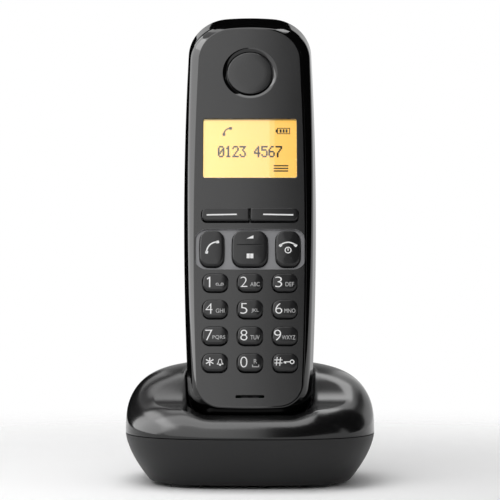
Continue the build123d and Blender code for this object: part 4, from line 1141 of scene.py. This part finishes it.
print("trees:", foot_tree.name, screw_tree.name)

# %% Grow the feet and the screws
def grown_piece(name, tree, places, values, body, node, sharp):
    """A piece that a tree makes on some places, in the tree's own material."""
    mesh = grow(tree, places, values, name)
    mesh.shade_smooth()
    tidy_mesh(mesh, sharp)
    place_piece(name, mesh, [values["Material"]], body, (node,))
    print(name + ":", len(mesh.polygons), "faces")


corners = [(sx, sy) for sx in (-1, 1) for sy in (-1, 1)]
grown_piece("feet", foot_tree, [(sx * 0.02205, sy * 0.0185, 0.0) for sx, sy in corners], {
    "Radius": 0.005, "Height": 0.002, "Material": foot_rubber},
    "base", "rubber_feet", 40.0)
grown_piece("screws_base", screw_tree, [(sx * 0.02905, sy * 0.01, 0.0170) for sx, sy in corners], {
    "Radius": 0.0023, "Height": 0.00565, "Cross": 0.0026, "Turn": (math.pi, 0.0, 0.3),
    "Material": zinc_steel}, "base", "base_screws", 35.0)
grown_piece("screws_handset", screw_tree, [on_handset(sx * 12.0, 12.1, -7.6) for sx in (-1, 1)], {
    "Radius": 0.0017, "Height": 0.0037, "Cross": 0.002, "Turn": (-math.pi / 2 - LEAN, 0.0, 0.5),
    "Material": zinc_steel}, "handset", "handset_screws", 35.0)

# %% [markdown]
# ## Pieces kept from the frame
# The tub, the handset's back, the battery cover, the paging key and the sockets have the right
# shape already. Their copies are joined and shaded smoothly, because the frame's meshes are loose
# triangles. The pieces inside stay as they are and get their material.

# %% Smooth copies and carried-over pieces
SMOOTHED = {
    "base_bottom_cover": tub_satin, "rear_shell": back_satin, "battery_cover": back_satin,
    "paging_button": back_satin, "line_jack": socket_black, "power_jack": socket_black,
}
KEPT = {
    "base_pcb": board_green, "handset_pcb": board_green, "base_shield_can": tinned_steel,
    "handset_shield_can": tinned_steel, "charging_contacts": contact_metal, "charge_pads": contact_metal,
    "battery_contacts": contact_metal, "paging_switch": socket_black, "battery_cells": cell_wrap,
    "backlight_guide": guide_amber, "earpiece_speaker": tinned_steel, "ringer_speaker": tinned_steel,
    "microphone": mat_rubber, "keypad_mat": mat_rubber,
}
for node, material in SMOOTHED.items():
    smooth_node(node, material)
for node, material in KEPT.items():
    nodes[node].data.materials.clear()
    nodes[node].data.materials.append(material)
print("smooth copies:", len(SMOOTHED), "kept nodes:", len(KEPT))

# %% [markdown]
# ## The studio
# A gloss black object shows what stands round it. So the light is built like a photographer's
# table: a white tent, a soft ceiling that lights the floor, and panels on the left, in front, above
# and behind, most of which only mirrors show. Black cards draw the dark edges, and one card behind
# glows a little at its foot. Panels and cards stay out of the camera's sight.

# %% Floor and tent
scene = bpy.context.scene
scene.view_settings.view_transform = "Standard"
FLOOR_RADIUS, FADE = 0.7, (0.08, 0.32)
CARD_HEIGHTS, CARD_GLOW = (0.2, 0.5), (0.42, 0.15)


def sheet_of(name, corners, material):
    mesh = bpy.data.meshes.new(name)
    mesh.from_pydata(corners, [], [tuple(range(len(corners)))])
    mesh.materials.append(material)
    item = show(name, mesh)
    return item


def fading_floor():
    """A matt white sheet that fades out with the distance from the phone."""
    material = surface("floor_white", grey(0.90, 1.0), grey(0.92, 1.0), 0.7, 0.8, mottle=3.0)
    tree = material.node_tree
    away = add_node(tree, "ShaderNodeVectorMath", {0: object_place(tree)}, operation="LENGTH")
    fade = ramp(tree, away, FADE, interpolation_type="SMOOTHSTEP")
    clear = add_node(tree, "ShaderNodeBsdfTransparent")
    mix = add_node(tree, "ShaderNodeMixShader", {
        "Fac": fade, 1: tree.nodes["Principled BSDF"].outputs["BSDF"],
        2: clear})
    set_inputs(tree, tree.nodes["Material Output"], {"Surface": mix})
    return material


def dull_card(name):
    material = surface(name, grey(0.002, 1.0), grey(0.004, 1.0), 0.9, 0.95, mottle=5.0)
    tree = material.node_tree
    set_inputs(tree, tree.nodes["Principled BSDF"], {"Specular IOR Level": 0.0})
    return material


def graded_card():
    """A card that glows a little at its foot and is dark at its top."""
    material = dull_card("card_grey")
    tree = material.node_tree
    fall = ramp(tree, object_place(tree, "Z"), CARD_HEIGHTS, CARD_GLOW, interpolation_type="SMOOTHSTEP")
    set_inputs(tree, tree.nodes["Principled BSDF"], {
        "Emission Color": fall, "Emission Strength": 1.0})
    return material


def white_tent(seen, lit):
    """A white world for the camera and for mirrors, with its own level as a light."""
    world = bpy.data.worlds.new("tent")
    world.use_nodes = True
    tree = world.node_tree
    path = add_node(tree, "ShaderNodeLightPath").outputs
    first = add_node(tree, "ShaderNodeMath", {0: path["Is Camera Ray"], 1: path["Is Glossy Ray"]})
    second = add_node(tree, "ShaderNodeMath", {0: first, 1: path["Is Transmission Ray"]})
    level = ramp(tree, second, result=(lit, seen))
    set_inputs(tree, tree.nodes["Background"], {
        "Color": (1.0, 1.0, 1.0, 1.0), "Strength": level})
    return world


card_black, card_grey = dull_card("card_black"), graded_card()
turns = np.arange(64) / 32 * math.pi
sheet_of("floor", [(FLOOR_RADIUS * math.cos(a), FLOOR_RADIUS * math.sin(a), 0.0) for a in turns],
         fading_floor())
scene.world = white_tent(1.0, 0.42)
print("world:", scene.world.name)

# %% Panels and cards
def soft_box(name, place, aim, width, height, glow, lights=True, mirrors=True):
    """A light panel of a given brightness, aimed at a point, or one that only mirrors show."""
    lamp = bpy.data.lights.new(name, "AREA")
    lamp.shape = "RECTANGLE"
    lamp.size = width
    lamp.size_y = height
    lamp.energy = glow * math.pi * width * height
    holder = show(name, lamp)
    holder.location = place
    holder.rotation_euler = (Vector(aim) - Vector(place)).to_track_quat("-Z", "Y").to_euler()
    holder.visible_camera = False
    holder.visible_diffuse = lights
    holder.visible_glossy = mirrors


def dark_card(name, corners, material=card_black):
    card = sheet_of(name, corners, material)
    card.visible_camera = False
    card.visible_diffuse = False


soft_box("left_panel", (-0.6, 0.095, 0.48), (0.0, 0.095, 0.17), 0.81, 0.75, 3.2, lights=False)
soft_box("front_panel", (-0.166, -0.186, 0.268), (-0.166, 0.021, 0.094), 0.35, 0.30, 1.15)
soft_box("top_panel", (-0.18, -0.01, 0.6), (-0.18, -0.01, 0.0), 0.6, 0.3, 2.7, lights=False)
soft_box("ceiling", (0.0, -0.1, 0.9), (0.0, -0.1, 0.0), 0.9, 0.9, 2.15, mirrors=False)
soft_box("left_crown_panel", (-0.2, 0.62, 1.02), (-0.2, -0.02, 0.03), 0.4, 0.4, 1.1, lights=False)
soft_box("right_crown_panel", (0.2, 0.62, 1.02), (0.2, -0.02, 0.03), 0.4, 0.4, 2.8, lights=False)
dark_card("right_card", [
    (0.35, -0.08, 0.08), (0.35, 0.06, 0.08), (0.35, 0.5, 0.45), (0.35, 0.5, 1.0), (0.35, -0.08, 1.0)])
dark_card("front_card", [
    (0.0115, -0.278, 0.18), (0.095, -0.278, 0.18), (0.4, -0.195, 0.28), (0.4, -0.08, 0.417),
    (0.0115, -0.08, 0.417)])
dark_card("left_back_card", [
    (-0.55, 0.36, 0.0), (-0.12, 0.6, 0.0), (-0.12, 0.6, 0.3), (-0.55, 0.36, 0.6)])
dark_card("back_card", [(-0.7, 0.6, 0.62), (-0.1, 0.6, 0.62), (-0.1, 0.6, 0.83), (-0.7, 0.6, 0.83)])
dark_card("crown_card", [
    (-0.03, 0.062, 0.216), (0.05, 0.062, 0.216), (0.05, 0.083, 0.195), (-0.03, 0.083, 0.195)])
dark_card("low_card", [
    (-0.12, 0.6, 0.04), (0.12, 0.6, 0.04), (0.12, 0.6, 0.62), (-0.12, 0.6, 0.62)], card_grey)
dark_card("top_card", [(0.12, 0.14, 0.6), (0.42, 0.14, 0.6), (0.42, -0.16, 0.6), (0.12, -0.16, 0.6)])
print("lights:", len(bpy.data.lights))

# %% Camera
camera_data = bpy.data.cameras.new("camera")
camera_data.lens = 165.3
camera_data.sensor_width = 36.0
camera = show("camera", camera_data)
camera.location = (0.0, -0.8, 0.09)
camera.rotation_euler = (math.radians(90.0 - 0.7), 0.0, 0.0)
scene.camera = camera
print("camera lens:", camera_data.lens, "mm")
